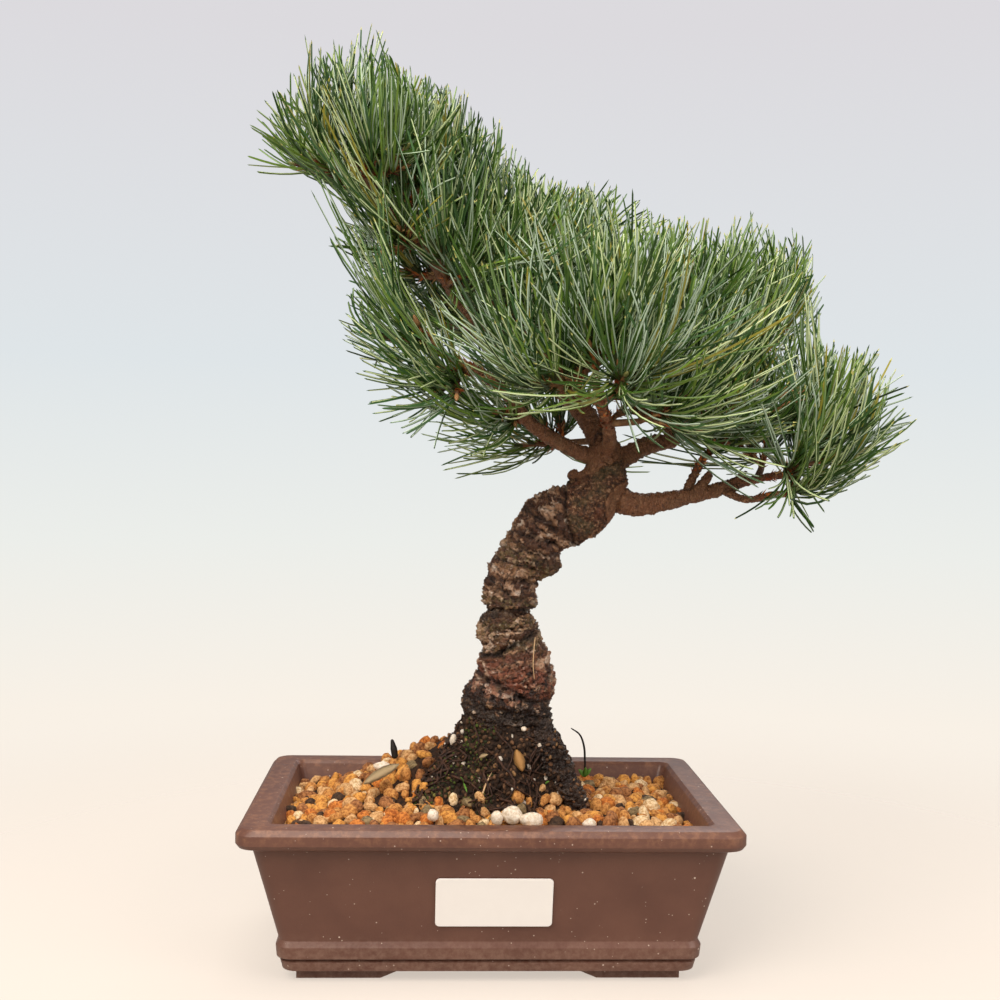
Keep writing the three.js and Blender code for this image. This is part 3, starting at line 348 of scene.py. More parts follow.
# What has fallen on the soil: a dead stem, a bit of bark, a straw and a loose fibre, as stations.
LITTER_STEMS = {
    "black": [
        [
            (44.8, 36, 56, 0.55), (44.6, 36, 66, 0.5), (44, 36, 73, 0.5), (42, 36, 78, 0.4),
            (38.1, 36, 80.8, 0.25),
        ],
        [(-38.6, 12, 72, 1.3), (-39.3, 12.5, 76, 1.5), (-40.2, 13, 80, 0.6)],
    ],
    "straw": [
        [(-3, -25.5, 66.5, 0.35), (-1.3, -23.5, 70.5, 0.35), (1.2, -21.5, 75, 0.2)],
        [(18, -10, 127, 0.22), (17.3, -13, 121.5, 0.2), (17, -15.2, 116, 0.2), (17.6, -15, 110.5, 0.14)],
    ],
}
# Leaves and shoots: foot, tip, width, how far each bows out and which way it faces.
LITTER_LEAVES = {
    "dry": [
        ((-50.5, -12, 67), (-36.5, -7, 74), 4.8, 0.8, (0, -1, 1)),
        ((-4.4, -19, 79.4), (-0.8, -19.8, 81), 1.9, 0.5, (0, -1, 1)),
    ],
    "tan": [
        ((10.4, -19.8, 83), (13, -22.8, 75), 4.4, 0.7, (0, -1, 0.2)),
        ((-30, -30, 63), (-26, -33, 64), 2.6, 0.4, (0, 0, 1)),
    ],
    "fresh": [
        ((-10.4, -19.5, 69.5), (-9, -23.4, 66.6), 0.9, 0.4, (0, -1, 1)),
        ((-10.4, -19.5, 69.5), (-11.8, -22.6, 72.6), 0.9, 0.4, (0, -1, 1)),
        ((43.5, 28, 61), (40.8, 27, 64.5), 2.2, 0.5, (0, -1, 1)),
        ((43.5, 28, 61), (46.4, 27, 65), 2.2, 0.5, (0, -1, 1)),
        ((43.5, 28, 61), (43.7, 25, 66), 1.9, 0.4, (0, -1, 1)),
        ((22, -22, 69.5), (23.5, -24.5, 71.5), 1.2, 0.4, (0, -1, 1)),
    ],
}
LITTER_COLOURS = {
    "black": "#1E1712", "straw": "#C9A67C", "dry": "#A38C68", "tan": "#A87B46", "fresh": "#5F8A34",
}
# Along a leaf: share of its length, and of its width.
LEAF_SHAPE = ((0, 0.12), (0.12, 0.55), (0.35, 0.95), (0.6, 1), (0.85, 0.65), (1, 0.1))
LEAF_THICKNESS = 0.12

# The floor, the backdrop from low to high, the world's light on the tree, and lamps: place in metres, size,
# power and colour.
FLOOR = {"radius": 1200, "height": -0.1, "sides": 64, "fade": (0.22, 0.55), "clear": (0.6, 1.0)}
BACKDROP = ((0, "#FBEFE2"), (0.26, "#F9F1E6"), (0.43, "#ECEEEA"), (0.62, "#DFE5E8"), (0.95, "#DCDADE"))
WORLD_LIGHT = 0.36
LIGHTS = {
    "top_softbox": ((-0.2, -0.35, 1.45), 0.8, 10.5, "#FFF6EC"),
    "key_softbox": ((-0.6, -0.85, 0.95), 0.9, 15.5, "#FFF6EC"),
    "fill_softbox": ((0.9, -0.75, 0.6), 1.0, 8, "#FFF9F4"),
    "back_softbox": ((0.3, 0.9, 0.9), 0.8, 4, "#FFFFFF"),
}
LIGHT_TARGET = (0, 0, 0.17)
# The photograph's camera, fitted to the pot's corners: place from the pot's middle in mm, and angles.
CAMERA = {"place": (-23.3, -551.1, 196.9), "yaw": 2.75, "pitch": -1.52, "roll": 1.0, "focal_px": 1337.7}
PHOTO_WIDTH, SENSOR = 1000, 36


def linear(code):
    """An sRGB hex colour in linear light."""
    parts = [int(code[place:place + 2], 16) / 255 for place in (1, 3, 5)]
    return tuple(c / 12.92 if c <= 0.04045 else ((c + 0.055) / 1.055) ** 2.4 for c in parts)


def per_mm(size):
    """The scale of a pattern on Object coordinates whose features measure this many millimetres."""
    return 1 / (size * MM)


def smoothstep(low, high, value):
    share = np.clip((np.asarray(value, float) - low) / (high - low), 0, 1)
    return share * share * (3 - 2 * share)


def unit(vectors):
    vectors = np.asarray(vectors, float)
    return vectors / np.linalg.norm(vectors, axis=-1, keepdims=True)


def angles_round(count):
    return np.arange(count) / count * FULL_TURN


def turned(side, across, angle):
    """The direction at an angle from one direction towards another that is square to it."""
    return side * math.cos(angle) + across * math.sin(angle)


def spray_axes(axis):
    """Two directions square to an axis."""
    side = unit(np.cross(axis, UP + np.array([0.01, 0.02, 0])))
    return side, np.cross(axis, side)


class Dice:
    """Numbers from a seed, the same ones that the tree's solids are grown with."""

    MASK = 0xFFFFFFFF

    def __init__(self, seed):
        self.state = seed & self.MASK

    def roll(self):
        self.state = (self.state + 0x6D2B79F5) & self.MASK
        mixed = ((self.state ^ (self.state >> 15)) * (self.state | 1)) & self.MASK
        mixed ^= (mixed + (mixed ^ (mixed >> 7)) * (mixed | 61)) & self.MASK
        return (mixed ^ (mixed >> 14)) / (self.MASK + 1)


# Making meshes


def make_piece(name, points, faces, materials=(), slots=None, smooth=True):
    """A mesh object from points in millimetres and arrays of faces, each array of one corner count."""
    mesh = bpy.data.meshes.new(name)
    mesh.vertices.add(len(points))
    mesh.vertices.foreach_set("co", in_frame(points))
    counts = np.concatenate([np.full(len(group), group.shape[1]) for group in faces])
    starts = np.concatenate([[0], np.cumsum(counts)[:-1]])
    mesh.loops.add(int(counts.sum()))
    corners = np.concatenate([group.ravel() for group in faces])
    mesh.loops.foreach_set("vertex_index", corners.astype(np.int32))
    mesh.polygons.add(len(counts))
    mesh.polygons.foreach_set("loop_start", starts.astype(np.int32))
    for material in materials:
        mesh.materials.append(material)
    if slots is not None:
        mesh.polygons.foreach_set("material_index", np.asarray(slots, np.int32))
    mesh.polygons.foreach_set("use_smooth", np.full(len(counts), smooth))
    mesh.update(calc_edges=True)
    mesh.validate()
    piece = bpy.data.objects.new(name, mesh)
    bpy.context.scene.collection.objects.link(piece)
    return piece


def join_piece(name, shapes, materials=(), slots=None, smooth=True):
    """One mesh object from several shapes of points, quads and triangles."""
    points, quads, triangles, first = [], [], [], 0
    for places, fours, threes in shapes:
        points.append(places)
        quads.append(fours + first)
        triangles.append(threes + first)
        first += len(places)
    faces = [np.vstack(quads), np.vstack(triangles)]
    return make_piece(name, np.vstack(points), faces, materials, slots, smooth)


def in_frame(points):
    """Points in millimetres as the flat list of metres in the frame's place that a mesh takes."""
    return ((np.asarray(points, float) + POT_MIDDLE) * MM).astype(np.float32).ravel()


def read_vertices(piece, kind):
    values = np.empty(len(piece.data.vertices) * 3, np.float32)
    piece.data.vertices.foreach_get(kind, values)
    return values.reshape(-1, 3).astype(float)


def places_of(piece):
    """The mesh's points in millimetres."""
    return read_vertices(piece, "co") / MM - POT_MIDDLE


def bake_modifiers(piece):
    """The piece's mesh with its modifiers worked in."""
    bpy.context.view_layer.update()
    evaluated = piece.evaluated_get(bpy.context.evaluated_depsgraph_get())
    finished = bpy.data.meshes.new_from_object(evaluated)
    piece.modifiers.clear()
    old = piece.data
    piece.data = finished
    bpy.data.meshes.remove(old)
    finished.name = piece.name
    return piece


def finish_piece(piece, slot, *nodes):
    """Ties a finished piece to the part's body and hides the solids it stands for; the slot is not used."""
    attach(piece, "root")
    if nodes:
        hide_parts(*nodes)
    return piece


def ring_faces(rings, sides):
    """Quads between rings of points that follow one another."""
    ring, side = np.meshgrid(np.arange(rings - 1), np.arange(sides), indexing="ij")
    a = ring * sides + side
    b = ring * sides + (side + 1) % sides
    return np.stack([a, b, b + sides, a + sides], -1).reshape(-1, 4)


def closed_loft(rings, poles=None):
    """Points, quads and end triangles through rings that run counter-clockwise seen from the far end."""
    count, sides = len(rings), len(rings[0])
    poles = poles or (np.mean(rings[0], axis=0), np.mean(rings[-1], axis=0))
    here = np.arange(sides)
    onward = (here + 1) % sides
    last = (count - 1) * sides
    foot = np.stack([np.full(sides, count * sides), onward, here], -1)
    top = np.stack([np.full(sides, count * sides + 1), last + here, last + onward], -1)
    return np.vstack([*rings, *poles]), ring_faces(count, sides), np.vstack([foot, top])


def tube(line, radii, sides):
    """A closed tube along a line, with no twist from one ring to the next and a pole at each end."""
    side = np.array([0.3, -1, 0.2])
    angles = angles_round(sides)
    rings = []
    for point, along, radius in zip(line, unit(np.gradient(line, axis=0)), radii):
        side = unit(side - along * (side @ along))
        across = np.cross(along, side)
        rings.append(point + radius * (np.outer(np.cos(angles), side) + np.outer(np.sin(angles), across)))
    return closed_loft(rings, (line[0], line[-1]))


# Making materials

# The kinds of node in use: Blender's name, settings, the output that is read, and the inputs in order.
NODES = {
    "place": ("ShaderNodeTexCoord", {}, "Object"),
    "direction": ("ShaderNodeTexCoord", {}, "Generated"),
    "height": ("ShaderNodeSeparateXYZ", {}, "Z", "Vector"),
    "distance": ("ShaderNodeVectorMath", {"operation": "LENGTH"}, "Value", 0),
    "fact": ("ShaderNodeAttribute", {}, "Fac"),
    "camera_ray": ("ShaderNodeLightPath", {}, "Is Camera Ray"),
    "noise": ("ShaderNodeTexNoise", {}, "Fac", "Vector", "Scale", "Detail", "Roughness"),
    "noise_vector": ("ShaderNodeTexNoise", {}, "Color", "Vector", "Scale", "Detail"),
    "specks": ("ShaderNodeTexVoronoi", {}, "Distance", "Vector", "Scale"),
    "range": ("ShaderNodeMapRange", {}, "Result", "Value", "From Min", "From Max", "To Min", "To Max"),
    "rise": (
        "ShaderNodeMapRange", {"interpolation_type": "SMOOTHSTEP"}, "Result",
        "Value", "From Min", "From Max", "To Min", "To Max",
    ),
    "ramp": ("ShaderNodeValToRGB", {}, "Color", "Fac"),
    "sum": ("ShaderNodeMath", {"operation": "ADD"}, 0, 0, 1),
    "difference": ("ShaderNodeMath", {"operation": "SUBTRACT"}, 0, 0, 1),
    "product": ("ShaderNodeMath", {"operation": "MULTIPLY"}, 0, 0, 1),
    "sine": ("ShaderNodeMath", {"operation": "SINE"}, 0, 0),
    "mix": ("ShaderNodeMix", {"data_type": "RGBA"}, 2, 0, 6, 7),
    "bump": ("ShaderNodeBump", {}, "Normal", "Height", "Distance", "Normal"),
    "transparent": ("ShaderNodeBsdfTransparent", {}, 0),
    "mixed_shader": ("ShaderNodeMixShader", {}, 0, 0, 1, 2),
    "given": ("NodeGroupInput", {}, 0),
    "result": ("NodeGroupOutput", {}, None, 0),
    "position": ("GeometryNodeInputPosition", {}, 0),
    "unit": ("ShaderNodeVectorMath", {"operation": "NORMALIZE"}, 0, 0),
    "scaled": ("ShaderNodeVectorMath", {"operation": "SCALE"}, 0, 0, "Scale"),
    "vector_difference": ("ShaderNodeVectorMath", {"operation": "SUBTRACT"}, 0, 0, 1),
    "random_vector": ("FunctionNodeRandomValue", {"data_type": "FLOAT_VECTOR"}, 0, 0, 1, "Seed"),
    "random_number": ("FunctionNodeRandomValue", {"data_type": "FLOAT"}, 1, 2, 3, "Seed"),
    "block": ("GeometryNodeMeshCube", {}, 0, "Size", "Vertices X", "Vertices Y", "Vertices Z"),
    "put": ("GeometryNodeSetPosition", {}, 0, "Geometry", "Position"),
    "moved": ("GeometryNodeSetPosition", {}, 0, "Geometry", "Offset"),
    "strewn": (
        "GeometryNodeDistributePointsOnFaces", {"distribute_method": "POISSON"}, 0,
        "Mesh", "Distance Min", "Density Max", "Seed",
    ),
    "grains": ("GeometryNodeInstanceOnPoints", {}, 0, "Points", "Instance", "Rotation", "Scale"),
    "noted": (
        "GeometryNodeStoreNamedAttribute", {"data_type": "FLOAT", "domain": "INSTANCE"}, 0,
        "Geometry", "Name", "Value",
    ),
    "read": ("GeometryNodeInputNamedAttribute", {"data_type": "FLOAT"}, 0, "Name"),
    "real": ("GeometryNodeRealizeInstances", {}, 0, "Geometry"),
    "smooth": ("GeometryNodeSetShadeSmooth", {}, 0, "Geometry"),
    "at_least": ("FunctionNodeCompare", {"data_type": "FLOAT", "operation": "GREATER_EQUAL"}, 0, 0, 1),
    "coloured": ("GeometryNodeSetMaterial", {}, 0, "Geometry", "Selection", "Material"),
}


def set_inputs(node, inputs):
    """Sets a node's inputs, each to a value, an sRGB hex colour or another node's output to link."""
    for name, value in inputs.items():
        if isinstance(value, bpy.types.NodeSocket):
            node.id_data.links.new(value, node.inputs[name])
        else:
            node.inputs[name].default_value = (*linear(value), 1) if str(value).startswith("#") else value


def add_node(tree, kind, *values, stops=(), **settings):
    """Adds a node of one of the NODES and gives back its output. Stops are a ramp's places and colours."""
    blender_name, usual_settings, output, *inputs = NODES[kind]
    node = tree.nodes.new(blender_name)
    for name, value in {**usual_settings, **settings}.items():
        setattr(node, name, value)
    set_inputs(node, dict(zip(inputs, values)))
    for number, (place, colour) in enumerate(stops):
        if number >= len(node.color_ramp.elements):
            node.color_ramp.elements.new(1)
        node.color_ramp.elements[number].position = place
        node.color_ramp.elements[number].color = (*linear(colour), 1)
    return node.outputs[output] if node.outputs else None


def new_material(name, colour, roughness, **sockets):
    """A Principled material with its plain values set on the shader itself, and what adds nodes to it."""
    material = bpy.data.materials.new(name)
    material.use_nodes = True
    material.diffuse_color = (*linear(colour), 1)
    shader = material.node_tree.nodes["Principled BSDF"]
    plain = {"Base Color": colour, "Roughness": roughness, **sockets}
    set_inputs(shader, {socket.replace("_", " "): value for socket, value in plain.items()})
    return material, shader, partial(add_node, material.node_tree)


def patches(add, place, size, low, high, detail=4, roughness=0.65):
    """Where patches of about this many millimetres lie, as a share that rises softly."""
    return add("rise", add("noise", place, per_mm(size), detail, roughness), low, high)


def tint(add, base, share, strength, colour):
    """A colour laid over a base where the share says, and this strongly."""
    return add("mix", add("product", share, strength), base, colour)


def layered_bump(add, *layers):
    """Bumps one over another, each a height and its depth in millimetres."""
    height, depth = layers[0]
    normal = add("bump", height, depth * MM)
    for height, depth in layers[1:]:
        normal = add("bump", height, depth * MM, normal)
    return normal


def stoneware():
    """Unglazed brown stoneware, cast and wiped: satin, a dusty bloom with painted highlight on the rim and
    pale grog specks.
    """
    material, shader, add = new_material("brown_stoneware", "#694B40", 0.42, Specular_IOR_Level=0.45)
    place = add("place")
    height = add("height", place)
    cloud = add("noise", place, per_mm(26), 4, 0.55)
    body = add("mix", add("rise", cloud, 0.3, 0.7), "#613F33", "#6C483A")
    # The lighter band along the rim's top is a dusty bloom and partly a painted highlight.
    bloom_and_highlight = add("product", add("rise", height, 0.053, 0.0615), patches(add, place, 3, 0.42, 0.7, 5, 0.7))
    body = tint(add, body, bloom_and_highlight, 0.3, "#B5825E")
    dust = add("product", add("rise", height, 0.021, 0.009), patches(add, place, 2.4, 0.3, 0.8, 5, 0.7))
    body = tint(add, body, dust, 0.5, "#9C7E6C")
    for size, share, strength in ((3.4, 0.07, 0.6), (4.6, 0.075, 0.6), (9.0, 0.05, 0.9)):
        grog = add("specks", place, per_mm(size))
        body = tint(add, body, add("rise", grog, share, share * 0.6), strength, "#DCC8B6")
    grit = (add("noise", place, per_mm(0.9), 3, 0.55), 0.06)
    swell = (add("noise", place, per_mm(14), 2, 0.55), 0.35)
    sheen = add("range", cloud, 0.3, 0.7, 0.34, 0.48)
    set_inputs(shader, {"Base Color": body, "Roughness": sheen, "Normal": layered_bump(add, grit, swell)})
    return material


def coated_label():
    """Blank plastic label with a matt printable face: plain warm white, a faint press grain."""
    material, shader, add = new_material("white_label", "#F3F1EC", 0.38)
    place = add("place")
    tone = add("mix", add("noise", place, per_mm(9), 2, 0.55), "#F6F1EB", "#FBF7F1")
    press = layered_bump(add, (add("noise", place, per_mm(0.6), 2, 0.55), 0.01))
    set_inputs(shader, {"Base Color": tone, "Normal": press})
    return material


def pine_bark():
    """Pine bark. Old bark is thin flaky scales, dark in the cracks with painted shade; young bark is smooth,
    ringed, reddish.
    """
    material, shader, add = new_material("pine_bark", "#6B4D3B", 0.5, Specular_IOR_Level=0.5)
    place = add("place")
    crack, age, soil, plate, rust, moss, along, bough = (
        add("fact", attribute_name=name)
        for name in ("crack", "age", "soil", "plate", "rust", "moss", "along", "bough")
    )
    patch = add("noise", place, per_mm(2.5), 5, 0.65)
    fine = add("noise", place, per_mm(0.9), 4, 0.7)
    zone = add("noise", place, per_mm(9), 3, 0.55)
    tone = add("sum", add("product", patch, 0.5), add("product", plate, 0.22))
    tone = add("sum", tone, add("product", zone, 0.3))
    # Old bark: brown to pale greyish plates, with red, lichened, flaking and pitted patches.
    # The palest stops and the pale flakes are partly painted highlight on the bark.
    old = add("ramp", tone, stops=[
        (0.34, "#5A3825"), (0.43, "#885E41"), (0.51, "#A98060"), (0.59, "#C7A387"), (0.68, "#F0DDCA"),
    ])
    old = tint(add, old, add("product", rust, patches(add, place, 4.5, 0.6, 0.42)), 0.8, "#93523A")
    old = tint(add, old, add("product", moss, patches(add, place, 2.2, 0.42, 0.6)), 0.5, "#6F6A34")
    # Pale flaking bark, lightened as painted highlight too.
    old = tint(add, old, patches(add, place, 1.7, 0.6, 0.68, 4, 0.7), 0.5, "#DFCBB8")
    old = tint(add, old, add("rise", fine, 0.43, 0.32), 0.72, "#26160D")
    # Young bark: warm brown, greener, redder or darker in patches, and lighter out on the boughs.
    young = add("ramp", add("noise", place, per_mm(1.4), 4, 0.6), stops=[
        (0.36, "#24140A"), (0.47, "#583720"), (0.56, "#7B5034"), (0.67, "#BC926E"),
    ])
    young = tint(add, young, add("rise", zone, 0.5, 0.66), 0.4, "#5F5A38")
    young = tint(add, young, add("rise", zone, 0.46, 0.34), 0.4, "#8A4F36")
    young = tint(add, young, add("rise", patch, 0.44, 0.36), 0.6, "#2A1A10")
    young = tint(add, young, bough, 0.55, "#A06D4A")
    # Both together: dark in the cracks, with painted shade in them, in the grooves and at the seam, and black
    # with damp soil at the foot, where the skin shines more.
    wood = tint(add, add("mix", age, young, old), crack, 0.95, "#130A05")
    uneven = add("range", add("noise", place, per_mm(3.2), 5, 0.65), 0.38, 0.62, -0.45, 0.45)
    damp = add("rise", add("sum", soil, uneven), 0.3, 0.62)
    wood = tint(add, wood, damp, 0.93, "#22130B")
    sheen = add("sum", add("range", patch, 0.4, 0.6, 0.58, 0.34), add("product", damp, -0.12))
    wobble = add("product", add("noise", place, per_mm(5), 4, 0.7), 22)
    wrinkle = add("sine", add("sum", add("product", along, FULL_TURN / RING_STEP), wobble))
    wrinkle = add("product", wrinkle, add("difference", 1, age))
    relief = layered_bump(add, (wrinkle, 0.13), (fine, 0.65), (patch, 1.1))
    set_inputs(shader, {"Base Color": wood, "Roughness": sheen, "Normal": relief})
    return material


def twig_bark():
    """Skin of this year's and last year's shoots: thin, warm brown, a little waxy."""
    material, shader, add = new_material("young_twig_skin", "#7A5636", 0.6)
    place = add("place")
    skin = add("ramp", add("noise", place, per_mm(2), 3, 0.55), stops=[
        (0.3, "#4E331F"), (0.5, "#74502F"), (0.7, "#8F6B43"),
    ])
    wrinkles = layered_bump(add, (add("noise", place, per_mm(0.8), 3, 0.55), 0.15))
    set_inputs(shader, {"Base Color": skin, "Normal": wrinkles})
    return material


def grain_material(name, colour, dark, roughness=0.85, size=1.2):
    """A grain of fired clay or rock: dull, pitted, and darker in its pits."""
    material, shader, add = new_material(name, colour, roughness, Specular_IOR_Level=0.3)
    pitted = add("noise", add("place"), per_mm(size), 4, 0.65)
    darker_in_pits = add("mix", add("rise", pitted, 0.35, 0.62), dark, colour)
    set_inputs(shader, {"Base Color": darker_in_pits, "Normal": layered_bump(add, (pitted, 0.35))})
    return material


def plain_materials(stem, colours, roughness, **sockets):
    """Plain colours of one surface, to be dealt out over many small things."""
    return [new_material(f"{stem}_{name}", code, roughness, **sockets)[0] for name, code in colours.items()]


def needle_materials():
    """Waxy skin: glossier green outer faces, duller pale inner ones, then tips, dead needles and feet."""
    outer, inner = ({name: row[0] for name, row in faces.items()} for faces in (NEEDLE_OUTER, NEEDLE_INNER))
    return [
        *plain_materials("needle", outer, 0.34, Specular_IOR_Level=0.38),
        *plain_materials("needle", inner, 0.45),
        *plain_materials("needle", NEEDLE_ODD, 0.5),
    ]


# Pot


def pot_ring(height, inset, radius, steps=POT["corner_steps"]):
    return rounded_rectangle(POT["width"] / 2 - inset, POT["depth"] / 2 - inset, radius, steps, height)


def rounded_rectangle(half_x, half_y, radius, steps, height=0):
    corners = []
    for corner, (sign_x, sign_y) in enumerate(((1, 1), (-1, 1), (-1, -1), (1, -1))):
        angles = (corner + np.linspace(0, 1, steps + 1)) * math.pi / 2
        corners.append(np.stack([
            sign_x * (half_x - radius) + radius * np.cos(angles),
            sign_y * (half_y - radius) + radius * np.sin(angles),
            np.full(steps + 1, float(height)),
        ], -1))
    return np.vstack(corners)


def foot_leg(along_x, sign_x, sign_y):
    """One leg of a corner foot, its free end slanting back."""
    outer_x = POT["width"] / 2 - FOOT_LEG["set_in"]
    outer_y = POT["depth"] / 2 - FOOT_LEG["set_in"]

    def level(height, cut):
        inner_x = outer_x - FOOT_LEG["length_x"] + cut if along_x else outer_x - FOOT_LEG["breadth"]
        inner_y = outer_y - FOOT_LEG["breadth"] if along_x else outer_y - FOOT_LEG["length_y"] + cut
        corners = [(inner_x, inner_y), (outer_x, inner_y), (outer_x, outer_y), (inner_x, outer_y)]
        ring = [(sign_x * x, sign_y * y, height) for x, y in corners]
        return np.array(ring if sign_x * sign_y > 0 else ring[::-1], float)

    return closed_loft([level(0, FOOT_LEG["slant"]), level(POT["foot"] + 1, 0)])


def cut_or_join(piece, shape, operation):
    """Joins a shape to a piece or cuts it out."""
    tool = join_piece("tool", [shape])
    modifier = piece.modifiers.new("join", "BOOLEAN")
    modifier.operation = operation
    modifier.solver = "EXACT"
    modifier.object = tool
    bake_modifiers(piece)
    bpy.data.objects.remove(tool)


def make_pot(material):
    """The pot: one thick wall lofted through its profile, with four corner feet and two drain holes."""
    pot = join_piece("stoneware_pot", [closed_loft([pot_ring(*row) for row in POT_PROFILE])], [material])
    for sign_x in (-1, 1):
        for sign_y in (-1, 1):
            for along_x in (True, False):
                cut_or_join(pot, foot_leg(along_x, sign_x, sign_y), "UNION")
        line = np.array([[sign_x * DRAIN["x"], 0, z] for z in (0, POT["floor"] * 2)], float)
        cut_or_join(pot, tube(line, [DRAIN["radius"]] * 2, 32), "DIFFERENCE")
    bevel = pot.modifiers.new("rounding", "BEVEL")
    bevel.width = EDGE["width"] * MM
    bevel.segments = EDGE["segments"]
    bevel.limit_method = "ANGLE"
    bevel.angle_limit = math.radians(EDGE["bevel_over"])
    bake_modifiers(pot)
    pot.data.polygons.foreach_set("use_smooth", np.full(len(pot.data.polygons), True))
    pot.data.set_sharp_from_angle(angle=math.radians(EDGE["sharp_over"]))
    finish_piece(pot, "stoneware", "pot")


def wall_inset(height, low, high):
    """Distance in from the rim's outer edge at a height, on the straight part of a wall."""
    return np.interp(height, (low[0], high[0]), (low[1], high[1]))


def make_label(material):
    """The blank label: a thin card with rounded corners on the sloping front wall."""
    slope = math.atan2(WALL_HIGH[0] - WALL_LOW[0], WALL_LOW[1] - WALL_HIGH[1])
    out = np.array([0, -math.sin(slope), -math.cos(slope)])
    up_wall = np.array([0, -math.cos(slope), math.sin(slope)])
    inset = wall_inset(LABEL["z"], WALL_LOW, WALL_HIGH)
    middle = np.array([LABEL["x"], inset - POT["depth"] / 2, LABEL["z"]])
    plan = rounded_rectangle(LABEL["width"] / 2, LABEL["height"] / 2, LABEL["corner"], 6)
    face = LABEL["gap"] + LABEL["thickness"]
    rings = []
    for depth, shrink in ((LABEL["gap"], 0), (face - LABEL["edge"], 0), (face, LABEL["edge"])):
        flat = plan[:, :2] * (1 - shrink * 2 / np.array([LABEL["width"], LABEL["height"]]))
        rings.append(middle + out * depth + np.outer(flat[:, 0], [1, 0, 0]) + np.outer(flat[:, 1], up_wall))
    label = join_piece("blank_label_card", [closed_loft(rings)], [material], smooth=False)
    finish_piece(label, "label", "blank_label")


# Limbs


def curve_point(places, share):
    """A point on the centripetal curve through the places, as the solids have it."""
    last = len(places) - 1
    position = min(max(share, 0), 1) * last
    index = min(int(position), last - 1)
    weight = position - index
    p1, p2 = places[index], places[index + 1]
    p0 = places[index - 1] if index > 0 else 2 * p1 - p2
    p3 = places[index + 2] if index + 2 <= last else 2 * p2 - p1
    gaps = [max(np.sum((b - a) ** 2), 1e-9) ** 0.25 for a, b in ((p0, p1), (p1, p2), (p2, p3))]
    slope_1 = ((p1 - p0) / gaps[0] - (p2 - p0) / (gaps[0] + gaps[1]) + (p2 - p1) / gaps[1]) * gaps[1]
    slope_2 = ((p2 - p1) / gaps[1] - (p3 - p1) / (gaps[1] + gaps[2]) + (p3 - p2) / gaps[2]) * gaps[1]
    square = -3 * p1 + 3 * p2 - 2 * slope_1 - slope_2
    cube = 2 * p1 - 2 * p2 + slope_1 + slope_2
    return p1 + slope_1 * weight + square * weight ** 2 + cube * weight ** 3


class Limb:
    """A limb's centre line and radius, both from its stations."""

    def __init__(self, stations):
        self.places = np.array([row[:3] for row in stations], float)
        self.radii = np.array([row[3] for row in stations], float)
        self.samples, self.sample_radii = self.line((len(stations) - 1) * LIMB_SAMPLES + 1)

    def point(self, share):
        return curve_point(self.places, share)

    def radius(self, share):
        return np.interp(share * (len(self.radii) - 1), np.arange(len(self.radii)), self.radii)

    def line(self, count):
        shares = np.linspace(0, 1, count)
        return np.array([self.point(share) for share in shares]), self.radius(shares)

    def fine_line(self, step=0.5):
        """Points about this many millimetres apart, with the radius and the distance along at each."""
        length = np.sum(np.linalg.norm(np.diff(self.samples, axis=0), axis=1))
        points, radii = self.line(max(int(length / step), 4))
        gaps = np.linalg.norm(np.diff(points, axis=0), axis=1)
        return points, radii, np.concatenate([[0], np.cumsum(gaps)])


limbs = {name: Limb(stations) for name, stations in LIMBS.items()}
BOUGHS = list(LIMBS)[1:]
ALL_SAMPLES = np.vstack([limb.samples for limb in limbs.values()])
ALL_RADII = np.concatenate([limb.sample_radii for limb in limbs.values()])


def limb_clearance(points):
    """Free distance from each point to the nearest limb's surface."""
    gaps = np.linalg.norm(np.atleast_2d(points)[:, None] - ALL_SAMPLES[None], axis=2) - ALL_RADII
    return gaps.min(axis=1)


# Bark


def nearest_on_limbs(points, names):
    """For each point its limb, the distance along it, its radius and axis there, and the way out."""
    lines = []
    for number, name in enumerate(names):
        line, radii, along = limbs[name].fine_line()
        axes = unit(np.gradient(line, axis=0))
        lines.append(np.column_stack([line, radii, along, axes, np.full(len(line), number)]))
    table = np.vstack(lines)
    tree = kdtree.KDTree(len(table))
    for index, row in enumerate(table):
        tree.insert(row[:3], index)
    tree.balance()
    chosen = [min(tree.find_n(point, 12), key=lambda hit: hit[2] - table[hit[1], 3])[1] for point in points]
    rows = table[chosen]
    axis = rows[:, 5:8]
    offset = points - rows[:, :3]
    ahead = np.sum(offset * axis, axis=1)
    return rows[:, 8].astype(int), rows[:, 4] + ahead, rows[:, 3], axis, offset - axis * ahead[:, None]


def field(points, size, octaves=3):
    """Smooth noise from about -1 to 1 whose features measure this many millimetres."""
    return np.array([noise.fractal(point, 0.6, 2.1, octaves) for point in points / size])


def scale_field(points, along, out_unit):
    """Bark scales: height over their cracks, a number for each, and how high on its scale a point lies."""
    places = out_unit * 11 / SCALES["across"]
    places[:, 2] = places[:, 2] * 0.5 + along / SCALES["along"]
    places += np.column_stack([field(points + shift, 5, 3) for shift in (0, 31, 67)]) * 0.6
    height, shade, tilt = np.empty(len(points)), np.empty(len(points)), np.empty(len(points))
    for index, place in enumerate(places):
        distances, cells = noise.voronoi(place)
        height[index] = distances[1] - distances[0]
        shade[index] = noise.cell(cells[0] * 17.3)
        tilt[index] = place[2] - cells[0][2]
    return height, shade, tilt


